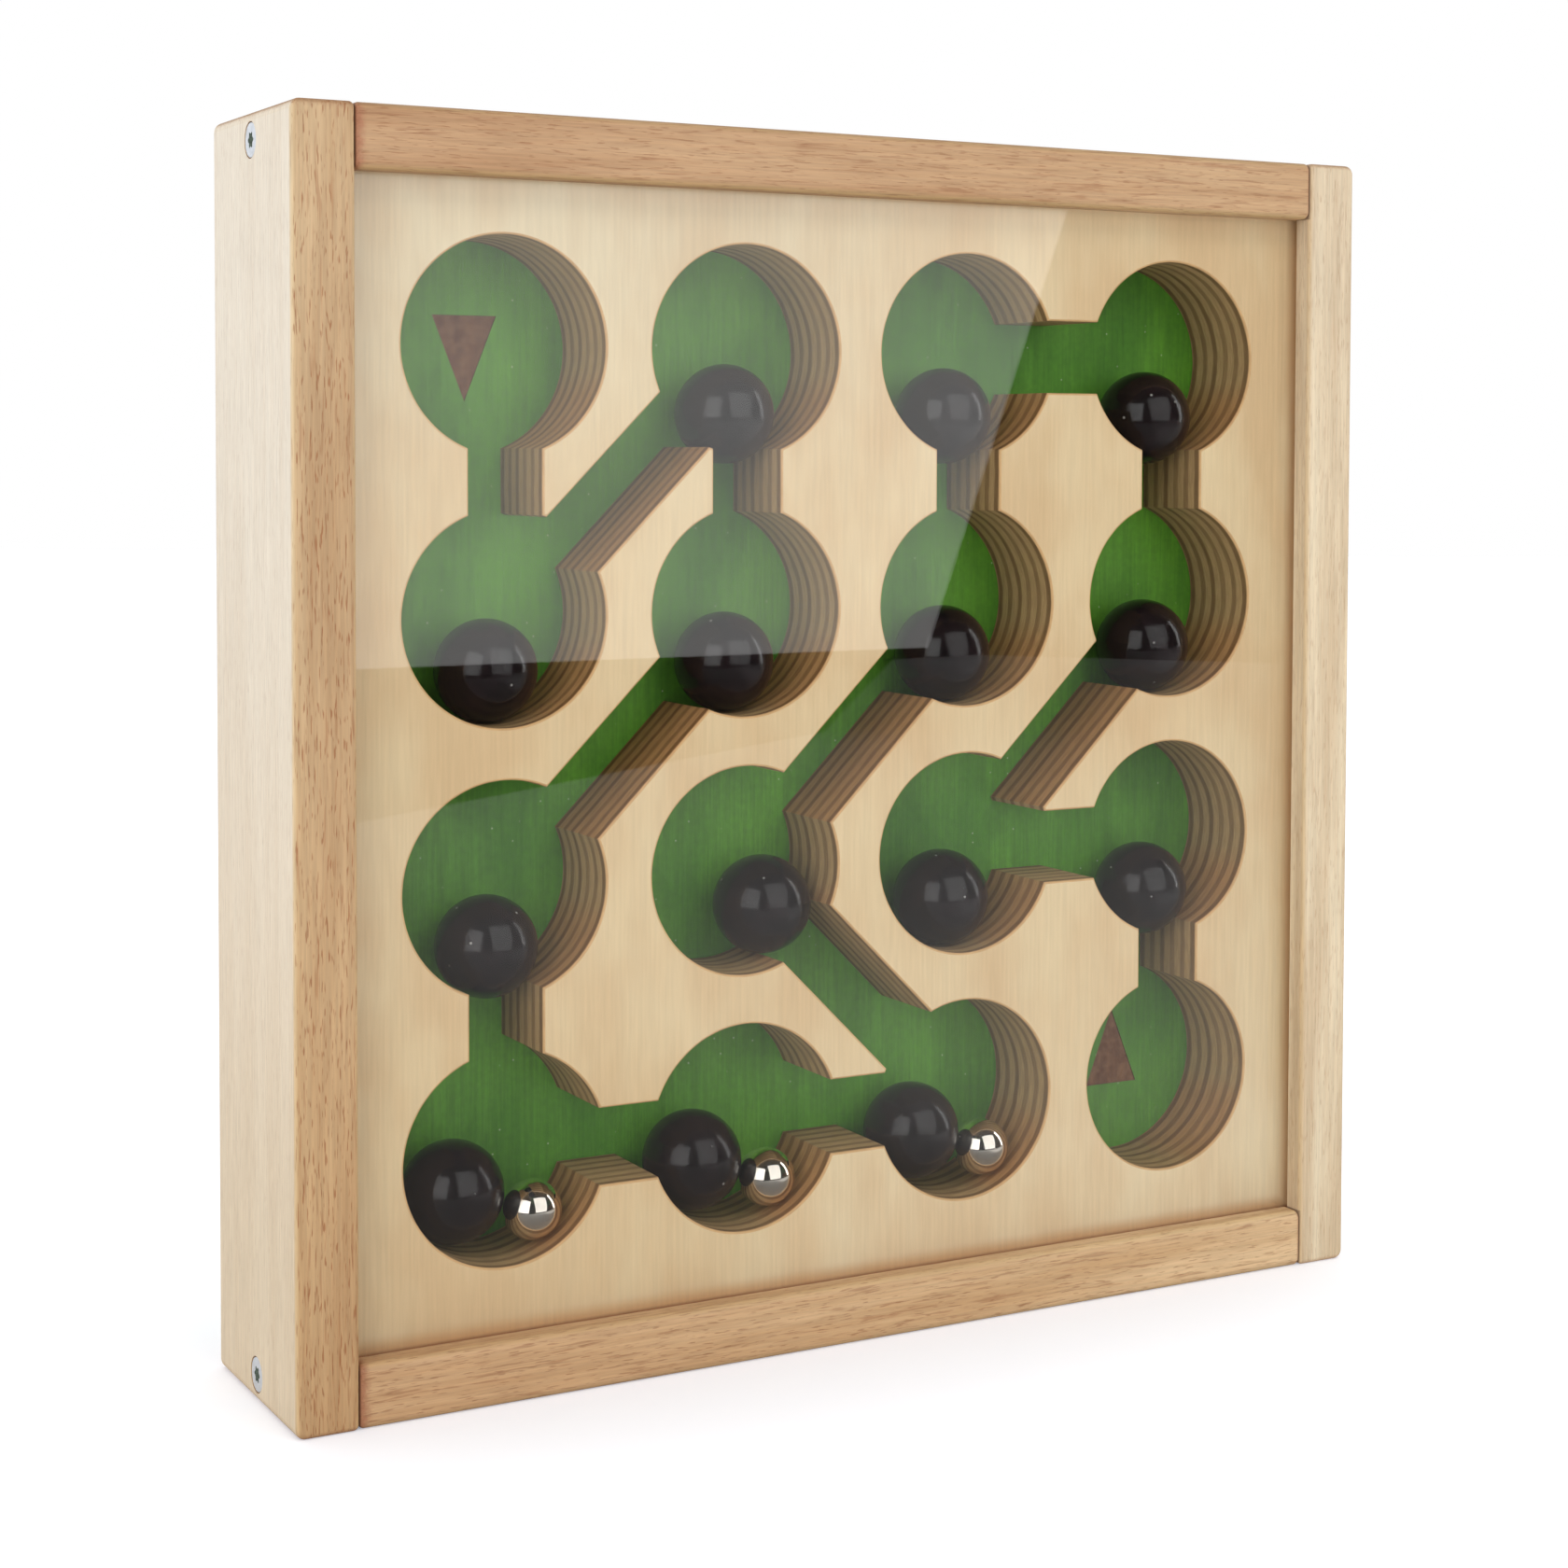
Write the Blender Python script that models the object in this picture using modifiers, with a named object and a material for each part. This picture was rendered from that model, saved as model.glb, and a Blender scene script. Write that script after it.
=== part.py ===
"""Wooden ball maze puzzle, built from its separate pieces.

A beech frame of two stiles and two rails, held by four screws, clamps a stack
in one groove: a clear window, a thick plywood board with sixteen round
chambers joined by one winding channel, and a thin stained back panel.
Fourteen black balls and three steel balls lie loose in the chambers.

The front faces -Y, Z is up, and the origin is on the ground under the middle.
"""

import math

import bmesh
import bpy
from mathutils import Vector

# Frame
FRAME_WIDTH = 0.290
FRAME_HEIGHT = 0.290
FRAME_DEPTH = 0.056
STILE_THICKNESS = 0.0145
RAIL_THICKNESS = 0.0145
LONG_EDGE_ROUND = 0.002
END_EDGE_ROUND = 0.0012
LIP_DEPTH = 0.0055
GROOVE_DEPTH = 0.004

# Loose balls, the steel ones a little behind the window
BLACK_BALL_DIAMETER = 0.024
STEEL_BALL_DIAMETER = 0.014
STEEL_WINDOW_GAP = 0.0014
STEEL_REST_ANGLE = math.radians(33.0)

# Sheets in the groove: the board between the other two leaves the black balls some play
WINDOW_THICKNESS = 0.003
BALL_PLAY_GAP = 0.0006
PANEL_THICKNESS = 0.006

# Chambers and channels, and the wood between the chambers and the frame's members,
# in shares of the wall between two chambers
CHAMBER_DIAMETER = 0.0498
CHANNEL_WIDTH = 0.018
SIDE_MARGIN_SHARE = 1.12
TOP_MARGIN_SHARE = 1.02
BOTTOM_MARGIN_SHARE = 1.22

# Marks burnt into the back panel
MARK_WIDTH = 0.016
MARK_HEIGHT = 0.020
MARK_BASE_OFFSET = 0.0077
MARK_DEPTH = 0.0004

# Screws, each in from the frame's top or bottom by a share of the rail's thickness
SCREW_PLACE_SHARE = 0.45
SCREW_LENGTH = 0.035
SHANK_DIAMETER = 0.004
HEAD_DIAMETER = 0.008
HEAD_RIM = 0.0005
HEAD_CONE = 0.0021
HEAD_SINK = 0.0001
TIP_LENGTH = 0.005
TIP_DIAMETER = 0.001
DRIVE_DIAMETER = 0.0039
DRIVE_CORE_DIAMETER = 0.0028
DRIVE_DEPTH = 0.0017

# The clearance between pieces, the length by which a cutter passes the face that
# it cuts, and the distance under which two points of a turned shape are one
FIT_GAP = 0.0003
OVERRUN = 0.001
MERGE_DISTANCE = 0.00001

# Counts
GRID_COUNT = 4
CHAMBER_SIDES = 44
BALL_SIDES = 20
BALL_RINGS = 12
SCREW_SIDES = 20
LOBE_COUNT = 6
ROUND_SEGMENTS = 3

# The way through the maze, chamber by chamber, as (row, column) from the top left
WAY = [
    (1, 1), (2, 1), (1, 2), (2, 2), (3, 1), (4, 1), (4, 2), (4, 3),
    (3, 2), (2, 3), (1, 3), (1, 4), (2, 4), (3, 3), (3, 4), (4, 4),
]

# How a black ball lies in its chamber
NO_BALL = "."
OVER_MOUTH = "o"
IN_SLANTED_MOUTH = "s"
ON_FLOOR = "f"
BESIDE_STEEL = "b"

# The black ball of each chamber, row by row from the top left. One over a mouth lies on
# a channel that leads straight down, and one in a slanted mouth on the channel by which
# the way comes from the chamber before. The rest lie on the floor.
BALL_MAP = [
    ".ooo",
    "ffff",
    "osfo",
    "bbb.",
]

# Sizes that follow from these
CHAMBER_RADIUS = CHAMBER_DIAMETER / 2
BLACK_RADIUS = BLACK_BALL_DIAMETER / 2
STEEL_RADIUS = STEEL_BALL_DIAMETER / 2
BOARD_THICKNESS = BLACK_BALL_DIAMETER + BALL_PLAY_GAP
GROOVE_WIDTH = WINDOW_THICKNESS + BOARD_THICKNESS + PANEL_THICKNESS + 4 * FIT_GAP
OPENING_WIDTH = FRAME_WIDTH - 2 * STILE_THICKNESS
OPENING_HEIGHT = FRAME_HEIGHT - 2 * RAIL_THICKNESS
RAIL_LENGTH = OPENING_WIDTH - 2 * FIT_GAP
SHEET_WIDTH = OPENING_WIDTH + 2 * (GROOVE_DEPTH - FIT_GAP)
SHEET_HEIGHT = OPENING_HEIGHT + 2 * (GROOVE_DEPTH - FIT_GAP)

# The chambers spread over the opening, and the walls and margins share what they leave
WALL_COUNT = GRID_COUNT - 1
COLUMN_WALL = ((OPENING_WIDTH - GRID_COUNT * CHAMBER_DIAMETER)
               / (WALL_COUNT + 2 * SIDE_MARGIN_SHARE))
ROW_WALL = ((OPENING_HEIGHT - GRID_COUNT * CHAMBER_DIAMETER)
            / (WALL_COUNT + TOP_MARGIN_SHARE + BOTTOM_MARGIN_SHARE))
COLUMN_PITCH = CHAMBER_DIAMETER + COLUMN_WALL
ROW_PITCH = CHAMBER_DIAMETER + ROW_WALL

# Places that follow from the sizes
FRONT = -FRAME_DEPTH / 2
GROOVE_MIDDLE = FRONT + LIP_DEPTH + GROOVE_WIDTH / 2
WINDOW_FRONT = FRONT + LIP_DEPTH + FIT_GAP
WINDOW_BACK = WINDOW_FRONT + WINDOW_THICKNESS
BOARD_FRONT = WINDOW_BACK + FIT_GAP
BOARD_MIDDLE = BOARD_FRONT + BOARD_THICKNESS / 2
PANEL_FRONT = BOARD_FRONT + BOARD_THICKNESS + FIT_GAP
STEEL_MIDDLE = WINDOW_BACK + STEEL_WINDOW_GAP + STEEL_RADIUS
MIDDLE_HEIGHT = FRAME_HEIGHT / 2
LEFT_COLUMN = CHAMBER_RADIUS + SIDE_MARGIN_SHARE * COLUMN_WALL - OPENING_WIDTH / 2
TOP_ROW = (FRAME_HEIGHT - RAIL_THICKNESS - TOP_MARGIN_SHARE * ROW_WALL) - CHAMBER_RADIUS
SCREW_INSET = RAIL_THICKNESS * SCREW_PLACE_SHARE

# Colours, roughness and metal of the finishes
FINISHES = {
    "beech": ((0.66, 0.47, 0.29, 1.0), 0.45, 0.0),
    "birch_plywood": ((0.70, 0.56, 0.38, 1.0), 0.5, 0.0),
    "green_stain": ((0.06, 0.15, 0.05, 1.0), 0.5, 0.0),
    "clear_acrylic": ((0.85, 0.9, 0.88, 0.25), 0.05, 0.0),
    "black_lacquer": ((0.012, 0.011, 0.012, 1.0), 0.35, 0.0),
    "polished_steel": ((0.7, 0.7, 0.7, 1.0), 0.08, 1.0),
    "zinc": ((0.6, 0.62, 0.65, 1.0), 0.3, 1.0),
}


def clear_scene():
    """Remove every object, so that the model starts alone."""
    for thing in list(bpy.data.objects):
        bpy.data.objects.remove(thing, do_unlink=True)


def new_collection(name):
    """Make a collection in the scene."""
    group = bpy.data.collections.new(name)
    bpy.context.scene.collection.children.link(group)
    return group


def finish(name, node):
    """Give a node its own copy of a finish, as a Principled material."""
    colour, roughness, metallic = FINISHES[name]
    material = bpy.data.materials.new(node + "_" + name)
    material.use_nodes = True
    shader = material.node_tree.nodes["Principled BSDF"]
    shader.inputs["Base Color"].default_value = colour
    shader.inputs["Roughness"].default_value = roughness
    shader.inputs["Metallic"].default_value = metallic
    shader.inputs["Alpha"].default_value = colour[3]
    return material


def make_object(name, shape, group, place=(0, 0, 0)):
    """Put a bmesh into a new object of the group and free the bmesh."""
    mesh = bpy.data.meshes.new(name)
    shape.to_mesh(mesh)
    shape.free()
    thing = bpy.data.objects.new(name, mesh)
    thing.location = place
    group.objects.link(thing)
    return thing


def box(width, depth, height):
    """A box about its own middle."""
    shape = bmesh.new()
    bmesh.ops.create_cube(shape, size=1)
    bmesh.ops.scale(shape, vec=(width, depth, height), verts=shape.verts)
    return shape


def rod(diameter, length, sides, axis):
    """A cylinder about its own middle, along X, Y or Z."""
    shape = bmesh.new()
    bmesh.ops.create_cone(shape, cap_ends=True, segments=sides, radius1=diameter / 2,
                          radius2=diameter / 2, depth=length)
    turn = Vector((0, 0, 1)).rotation_difference(axis).to_matrix()
    bmesh.ops.rotate(shape, verts=shape.verts, matrix=turn)
    return shape


def make_cutter(name, shape, group, place=(0, 0, 0)):
    """Put a bmesh into an object that only cuts others."""
    cutter = make_object(name, shape, group, place)
    cutter.hide_render = True
    cutter.display_type = "WIRE"
    return cutter


def cut(target, cutter):
    """Take a cutter's shape out of a target."""
    modifier = target.modifiers.new("cut_" + cutter.name, "BOOLEAN")
    modifier.operation = "DIFFERENCE"
    modifier.solver = "EXACT"
    modifier.object = cutter


def round_edges(thing, long_axis):
    """Round a member: its long edges fully, the edges of its ends less."""
    mesh = thing.data
    weights = mesh.attributes.new("bevel_weight_edge", "FLOAT", "EDGE")
    for edge, weight in zip(mesh.edges, weights.data):
        start, end = (mesh.vertices[index].co for index in edge.vertices)
        runs_long = abs((end - start).normalized()[long_axis]) > math.cos(math.pi / 4)
        weight.value = 1 if runs_long else END_EDGE_ROUND / LONG_EDGE_ROUND
    modifier = thing.modifiers.new("rounded_edges", "BEVEL")
    modifier.limit_method = "WEIGHT"
    modifier.width = LONG_EDGE_ROUND
    modifier.segments = ROUND_SEGMENTS


def chamber_centre(row, column):
    """The middle of a chamber, seen from the front, as (x, z)."""
    return Vector((LEFT_COLUMN + (column - 1) * COLUMN_PITCH, TOP_ROW - (row - 1) * ROW_PITCH))


def build_stile(name, side, parts, cutters):
    """A full-height upright with a stopped groove and two screw holes."""
    middle = side * (FRAME_WIDTH - STILE_THICKNESS) / 2
    stile = make_object(name, box(STILE_THICKNESS, FRAME_DEPTH, FRAME_HEIGHT), parts,
                        (middle, 0, MIDDLE_HEIGHT))
    round_edges(stile, 2)
    groove = box(2 * GROOVE_DEPTH, GROOVE_WIDTH, OPENING_HEIGHT + 2 * GROOVE_DEPTH)
    cut(stile, make_cutter(name + "_groove", groove, cutters,
                           (side * OPENING_WIDTH / 2, GROOVE_MIDDLE, MIDDLE_HEIGHT)))
    stile.data.materials.append(finish("beech", name))
    return stile


def build_rail(name, side, parts, cutters):
    """A cross member between the stiles, with a groove along its whole length."""
    middle = MIDDLE_HEIGHT + side * (FRAME_HEIGHT - RAIL_THICKNESS) / 2
    rail = make_object(name, box(RAIL_LENGTH, FRAME_DEPTH, RAIL_THICKNESS), parts, (0, 0, middle))
    round_edges(rail, 0)
    groove = box(RAIL_LENGTH + 2 * OVERRUN, GROOVE_WIDTH, 2 * GROOVE_DEPTH)
    cut(rail, make_cutter(name + "_groove", groove, cutters,
                          (0, GROOVE_MIDDLE, MIDDLE_HEIGHT + side * OPENING_HEIGHT / 2)))
    rail.data.materials.append(finish("beech", name))
    return rail


def build_board(parts, cutters):
    """The thick board, with its chambers and the channels between them."""
    board = make_object("maze_board", box(SHEET_WIDTH, BOARD_THICKNESS, SHEET_HEIGHT), parts,
                        (0, BOARD_MIDDLE, MIDDLE_HEIGHT))
    through = BOARD_THICKNESS + 2 * OVERRUN
    for row, column in WAY:
        x, z = chamber_centre(row, column)
        shape = rod(CHAMBER_DIAMETER, through, CHAMBER_SIDES, Vector((0, 1, 0)))
        cut(board, make_cutter(f"chamber_{row}_{column}", shape, cutters, (x, BOARD_MIDDLE, z)))
    for number, (first, second) in enumerate(zip(WAY, WAY[1:]), start=1):
        start = chamber_centre(*first)
        end = chamber_centre(*second)
        middle = (start + end) / 2
        run = box((end - start).length, through, CHANNEL_WIDTH)
        cutter = make_cutter(f"channel_{number}", run, cutters,
                             (middle.x, BOARD_MIDDLE, middle.y))
        cutter.rotation_euler = (0, -math.atan2(end.y - start.y, end.x - start.x), 0)
        cut(board, cutter)
    board.data.materials.append(finish("birch_plywood", "maze_board"))
    return board


def mark_cutter(name, chamber, way, cutters):
    """A triangular prism that burns one mark into the panel's front face.

    The mark's tip points up where way is 1 and down where it is -1.
    """
    x, z = chamber_centre(*chamber)
    base = -way * MARK_BASE_OFFSET
    outline = [(-MARK_WIDTH / 2, base), (MARK_WIDTH / 2, base), (0, base + way * MARK_HEIGHT)]
    shape = bmesh.new()
    face = shape.faces.new([shape.verts.new((across, -OVERRUN, up)) for across, up in outline])
    pushed = bmesh.ops.extrude_face_region(shape, geom=[face])
    moved = [item for item in pushed["geom"] if isinstance(item, bmesh.types.BMVert)]
    bmesh.ops.translate(shape, vec=(0, OVERRUN + MARK_DEPTH, 0), verts=moved)
    bmesh.ops.recalc_face_normals(shape, faces=shape.faces)
    return make_cutter(name, shape, cutters, (x, PANEL_FRONT, z))


def build_panel(parts, cutters):
    """The stained back panel with its start and end marks."""
    panel = make_object("back_panel", box(SHEET_WIDTH, PANEL_THICKNESS, SHEET_HEIGHT), parts,
                        (0, PANEL_FRONT + PANEL_THICKNESS / 2, MIDDLE_HEIGHT))
    cut(panel, mark_cutter("start_mark", WAY[0], -1, cutters))
    cut(panel, mark_cutter("end_mark", WAY[-1], 1, cutters))
    panel.data.materials.append(finish("green_stain", "back_panel"))
    return panel


def build_window(parts):
    """The clear sheet in front of the board."""
    window = make_object("window", box(SHEET_WIDTH, WINDOW_THICKNESS, SHEET_HEIGHT), parts,
                         (0, WINDOW_FRONT + WINDOW_THICKNESS / 2, MIDDLE_HEIGHT))
    window.data.materials.append(finish("clear_acrylic", "window"))
    return window


def turned(profile, name, group):
    """Turn a profile of (distance from the axis, place on the axis) about X.

    The profile runs from the outer end, at +X, to the inner end.
    """
    mesh = bpy.data.meshes.new(name)
    shape = bmesh.new()
    points = [shape.verts.new((along, 0, away)) for away, along in profile]
    for start, end in zip(points, points[1:]):
        shape.edges.new((start, end))
    shape.to_mesh(mesh)
    shape.free()
    thing = bpy.data.objects.new(name, mesh)
    group.objects.link(thing)
    modifier = thing.modifiers.new("turned", "SCREW")
    modifier.axis = "X"
    modifier.angle = 2 * math.pi
    modifier.steps = SCREW_SIDES
    modifier.render_steps = SCREW_SIDES
    modifier.screw_offset = 0
    modifier.use_merge_vertices = True
    modifier.merge_threshold = MERGE_DISTANCE
    modifier.use_normal_calculate = True
    return thing


def screw_profile(swell, proud):
    """Half the outline of a countersunk screw, grown by swell, its top moved out by proud."""
    shank = SHANK_DIAMETER / 2 + swell
    head = HEAD_DIAMETER / 2 + swell
    return [
        (0, proud),
        (head, proud),
        (head, -HEAD_RIM - swell),
        (shank, -HEAD_RIM - HEAD_CONE - swell),
        (shank, -SCREW_LENGTH + TIP_LENGTH),
        (TIP_DIAMETER / 2 + swell, -SCREW_LENGTH - swell),
        (0, -SCREW_LENGTH - swell),
    ]


def drive_shape():
    """The star-shaped recess in a screw's head, along X."""
    shape = bmesh.new()
    corners = []
    for number in range(2 * LOBE_COUNT):
        reach = (DRIVE_CORE_DIAMETER if number % 2 else DRIVE_DIAMETER) / 2
        angle = math.pi * number / LOBE_COUNT
        corners.append(shape.verts.new((OVERRUN, reach * math.cos(angle), reach * math.sin(angle))))
    face = shape.faces.new(corners)
    pushed = bmesh.ops.extrude_face_region(shape, geom=[face])
    moved = [item for item in pushed["geom"] if isinstance(item, bmesh.types.BMVert)]
    bmesh.ops.translate(shape, vec=(-OVERRUN - DRIVE_DEPTH, 0, 0), verts=moved)
    bmesh.ops.recalc_face_normals(shape, faces=shape.faces)
    return shape


def build_screw(name, side, height, stile, rail, parts, cutters):
    """A countersunk screw through a stile into a rail, and its hole in both."""
    place = (side * (FRAME_WIDTH / 2 - HEAD_SINK), 0, height)
    turn = (0, 0, 0 if side > 0 else math.pi)
    screw = turned(screw_profile(0, 0), name, parts)
    drive = make_cutter(name + "_drive", drive_shape(), cutters)
    hole = turned(screw_profile(FIT_GAP, OVERRUN), name + "_hole", cutters)
    hole.hide_render = True
    hole.display_type = "WIRE"
    for thing in (screw, drive, hole):
        thing.location = place
        thing.rotation_euler = turn
    cut(screw, drive)
    cut(stile, hole)
    cut(rail, hole)
    screw.data.materials.append(finish("zinc", name))
    return screw


def build_frame(parts, cutters):
    """The four members and the four screws that hold them."""
    left = build_stile("left_stile", -1, parts, cutters)
    right = build_stile("right_stile", 1, parts, cutters)
    top = build_rail("top_rail", 1, parts, cutters)
    bottom = build_rail("bottom_rail", -1, parts, cutters)
    for across, stile, side in (("left", left, -1), ("right", right, 1)):
        for level, rail, height in (("top", top, FRAME_HEIGHT - SCREW_INSET),
                                    ("bottom", bottom, SCREW_INSET)):
            build_screw(f"screw_{level}_{across}", side, height, stile, rail, parts, cutters)


def mouth_drop():
    """How far below its chamber's middle a ball sinks into a channel's mouth."""
    half_mouth = CHANNEL_WIDTH / 2
    corner = math.sqrt(CHAMBER_RADIUS ** 2 - half_mouth ** 2)
    reach = BLACK_RADIUS + FIT_GAP
    return corner - math.sqrt(reach ** 2 - half_mouth ** 2)


def floor_drop(ball_radius):
    """How far below its chamber's middle a ball lies on the chamber's floor."""
    return CHAMBER_RADIUS - ball_radius - FIT_GAP


def side_by_side_angle():
    """The angle at the chamber's middle between a black and a steel ball that touch."""
    black = floor_drop(BLACK_RADIUS)
    steel = floor_drop(STEEL_RADIUS)
    reach = BLACK_RADIUS + STEEL_RADIUS + FIT_GAP
    apart = reach ** 2 - (BOARD_MIDDLE - STEEL_MIDDLE) ** 2
    return math.acos((black ** 2 + steel ** 2 - apart) / (2 * black * steel))


def black_rest(row, column):
    """A black ball's resting place, from its chamber's middle, as (x, z)."""
    lies = BALL_MAP[row - 1][column - 1]
    if lies == OVER_MOUTH:
        return Vector((0, -mouth_drop()))
    if lies == IN_SLANTED_MOUTH:
        before = WAY[WAY.index((row, column)) - 1]
        slant = chamber_centre(*before) - chamber_centre(row, column)
        return slant.normalized() * mouth_drop()
    if lies == BESIDE_STEEL:
        angle = side_by_side_angle() - STEEL_REST_ANGLE
        return Vector((-math.sin(angle), -math.cos(angle))) * floor_drop(BLACK_RADIUS)
    return Vector((0, -floor_drop(BLACK_RADIUS)))


def steel_rest():
    """A steel ball's resting place, from its chamber's middle, as (x, z)."""
    return Vector((math.sin(STEEL_REST_ANGLE), -math.cos(STEEL_REST_ANGLE))) * floor_drop(STEEL_RADIUS)


def build_ball(name, diameter, place, finish_name, parts):
    """A ball whose origin is its middle."""
    shape = bmesh.new()
    bmesh.ops.create_uvsphere(shape, u_segments=BALL_SIDES, v_segments=BALL_RINGS,
                              radius=diameter / 2)
    ball = make_object(name, shape, parts, place)
    ball.data.shade_smooth()
    ball.data.materials.append(finish(finish_name, name))
    return ball


def build_balls(parts):
    """All the loose balls, each in its own chamber."""
    for row, column in sorted(WAY):
        lies = BALL_MAP[row - 1][column - 1]
        if lies == NO_BALL:
            continue
        x, z = chamber_centre(row, column) + black_rest(row, column)
        build_ball(f"black_ball_{row}_{column}", BLACK_BALL_DIAMETER, (x, BOARD_MIDDLE, z),
                   "black_lacquer", parts)
        if lies == BESIDE_STEEL:
            x, z = chamber_centre(row, column) + steel_rest()
            build_ball(f"steel_ball_{row}_{column}", STEEL_BALL_DIAMETER, (x, STEEL_MIDDLE, z),
                       "polished_steel", parts)


def main():
    """Build the whole puzzle."""
    clear_scene()
    parts = new_collection("wooden_ball_maze_puzzle")
    cutters = new_collection("cutters")
    build_frame(parts, cutters)
    build_window(parts)
    build_board(parts, cutters)
    build_panel(parts, cutters)
    build_balls(parts)
    bpy.context.view_layer.update()


main()
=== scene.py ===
"""The looks of the wooden ball maze puzzle.

A beech frame of two stiles and two rails, held by four screws, clamps a clear
window, a thick plywood board with sixteen chambers and one winding channel, and a
stained back panel. Fourteen black balls and three steel balls lie in the chambers.

The front faces -Y and Z is up. Lengths are in metres.
"""

import functools
import logging
import math
from collections.abc import Iterable, Sequence
from dataclasses import dataclass
from enum import Enum

import bmesh
import bpy
from mathutils import Matrix, Vector


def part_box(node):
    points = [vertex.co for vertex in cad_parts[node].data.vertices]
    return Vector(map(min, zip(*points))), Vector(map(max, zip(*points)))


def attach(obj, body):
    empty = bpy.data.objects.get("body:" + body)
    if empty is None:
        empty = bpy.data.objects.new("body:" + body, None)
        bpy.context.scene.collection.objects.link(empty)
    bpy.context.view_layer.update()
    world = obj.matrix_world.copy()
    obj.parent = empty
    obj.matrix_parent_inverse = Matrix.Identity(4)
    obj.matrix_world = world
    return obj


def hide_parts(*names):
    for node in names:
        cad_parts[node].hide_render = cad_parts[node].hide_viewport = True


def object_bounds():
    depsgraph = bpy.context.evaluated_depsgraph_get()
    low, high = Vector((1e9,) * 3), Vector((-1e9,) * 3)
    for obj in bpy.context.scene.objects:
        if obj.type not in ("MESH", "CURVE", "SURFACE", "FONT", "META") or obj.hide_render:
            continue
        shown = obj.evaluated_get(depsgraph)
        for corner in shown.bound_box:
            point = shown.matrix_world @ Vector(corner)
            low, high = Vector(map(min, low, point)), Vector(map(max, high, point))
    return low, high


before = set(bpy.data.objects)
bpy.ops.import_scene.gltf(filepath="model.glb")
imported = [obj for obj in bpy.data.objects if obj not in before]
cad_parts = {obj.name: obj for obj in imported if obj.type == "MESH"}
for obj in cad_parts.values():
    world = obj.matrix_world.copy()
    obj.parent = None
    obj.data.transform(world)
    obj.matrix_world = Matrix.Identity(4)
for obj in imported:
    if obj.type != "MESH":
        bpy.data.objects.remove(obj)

CAD_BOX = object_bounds()
LOG = logging.getLogger("ball_maze")

Colour = tuple[float, float, float]
Pair = tuple[float, float]
Shape = bmesh.types.BMesh
Socket = bpy.types.NodeSocket

MILLIMETRE = 0.001
FIT_GAP = 0.3 * MILLIMETRE
OVERRUN = 1.0 * MILLIMETRE
MERGE_DISTANCE = MILLIMETRE / 1000
TOUCH = MILLIMETRE / 100
SMOOTH_ANGLE = math.radians(35.0)

# How much of a normal's length lies along an axis: nearly all, and as good as all.
STEEP = 0.9
FLAT = 0.999

# The attributes by which a member says where its faces are.
FACE_MARKS = ("broad", "eased", "end")

# Levels between which a noise is spread: most of what it gives, more of it, or all.
MOST = (0.3, 0.7)
WIDE = (0.25, 0.75)
FULL = (0.0, 1.0)

# A cloudy noise's detail and roughness.
CLOUDY = (3.0, 0.6)


class Slot(Enum):
    """The record's material slots, by what they cover."""

    STILE = "beech_light"
    RAIL = "beech"
    WINDOW = "clear_acrylic"
    BOARD = "birch_plywood"
    PANEL = "green_stain"
    SCREW = "zinc_steel"
    BLACK_BALL = "black_lacquer"
    STEEL_BALL = "polished_steel"


class Grain(Enum):
    """Which way the grain of a piece of wood runs, as the turn that lays Z along it."""

    UPRIGHT = (0.0, 0.0, 0.0)
    LEVEL = (0.0, math.pi / 2, 0.0)


class Lies(Enum):
    """How the black ball lies in its chamber."""

    NOWHERE = "."
    OVER_MOUTH = "o"
    IN_SLANTED_MOUTH = "s"
    ON_FLOOR = "f"
    BESIDE_STEEL = "b"


def paint(red: int, green: int, blue: int) -> Colour:
    """Turn a colour as a screen shows it into the linear colour that a shader takes.

    Args:
        red: How much red, from 0 to 255.
        green: How much green, from 0 to 255.
        blue: How much blue, from 0 to 255.

    Returns:
        The linear colour.
    """
    parts = []
    for value in (red, green, blue):
        share = value / 255
        parts.append(share / 12.92 if share <= 0.04045 else ((share + 0.055) / 1.055) ** 2.4)
    return (parts[0], parts[1], parts[2])


# Shapes


@dataclass(frozen=True)
class Block:
    """A box in space, between its lowest and its highest corner."""

    low: Vector
    high: Vector

    @staticmethod
    @functools.cache
    def of(node: str) -> "Block":
        """Take the box of a node of the frame."""
        low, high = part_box(node)
        return Block(low, high)

    @property
    def size(self) -> Vector:
        """The lengths of its sides."""
        return self.high - self.low

    @property
    def middle(self) -> Vector:
        """Its middle point."""
        return (self.high + self.low) / 2

    def shape(self) -> Shape:
        """Make its six faces."""
        shape = bmesh.new()
        bmesh.ops.create_cube(shape, size=1)
        bmesh.ops.scale(shape, vec=self.size, verts=shape.verts)
        bmesh.ops.translate(shape, vec=self.middle, verts=shape.verts)
        return shape


def ease(shape: Shape, edges: Iterable[bmesh.types.BMEdge], width: float,
         segments: int) -> list[bmesh.types.BMFace]:
    """Round some edges of a shape.

    Args:
        shape: The shape.
        edges: The edges to round.
        width: How far the rounding reaches from the edge.
        segments: The number of its steps.

    Returns:
        The new faces.
    """
    rounded = bmesh.ops.bevel(shape, geom=list(edges), offset=width, offset_type="OFFSET",
                              segments=segments, profile=0.5, affect="EDGES", material=-1)
    return rounded["faces"]


def runs_along(edge: bmesh.types.BMEdge, axis: int) -> bool:
    """Say whether an edge runs along an axis, 0 for X, 1 for Y or 2 for Z."""
    way = (edge.verts[1].co - edge.verts[0].co).normalized()
    return abs(way[axis]) > math.cos(math.pi / 4)


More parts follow.
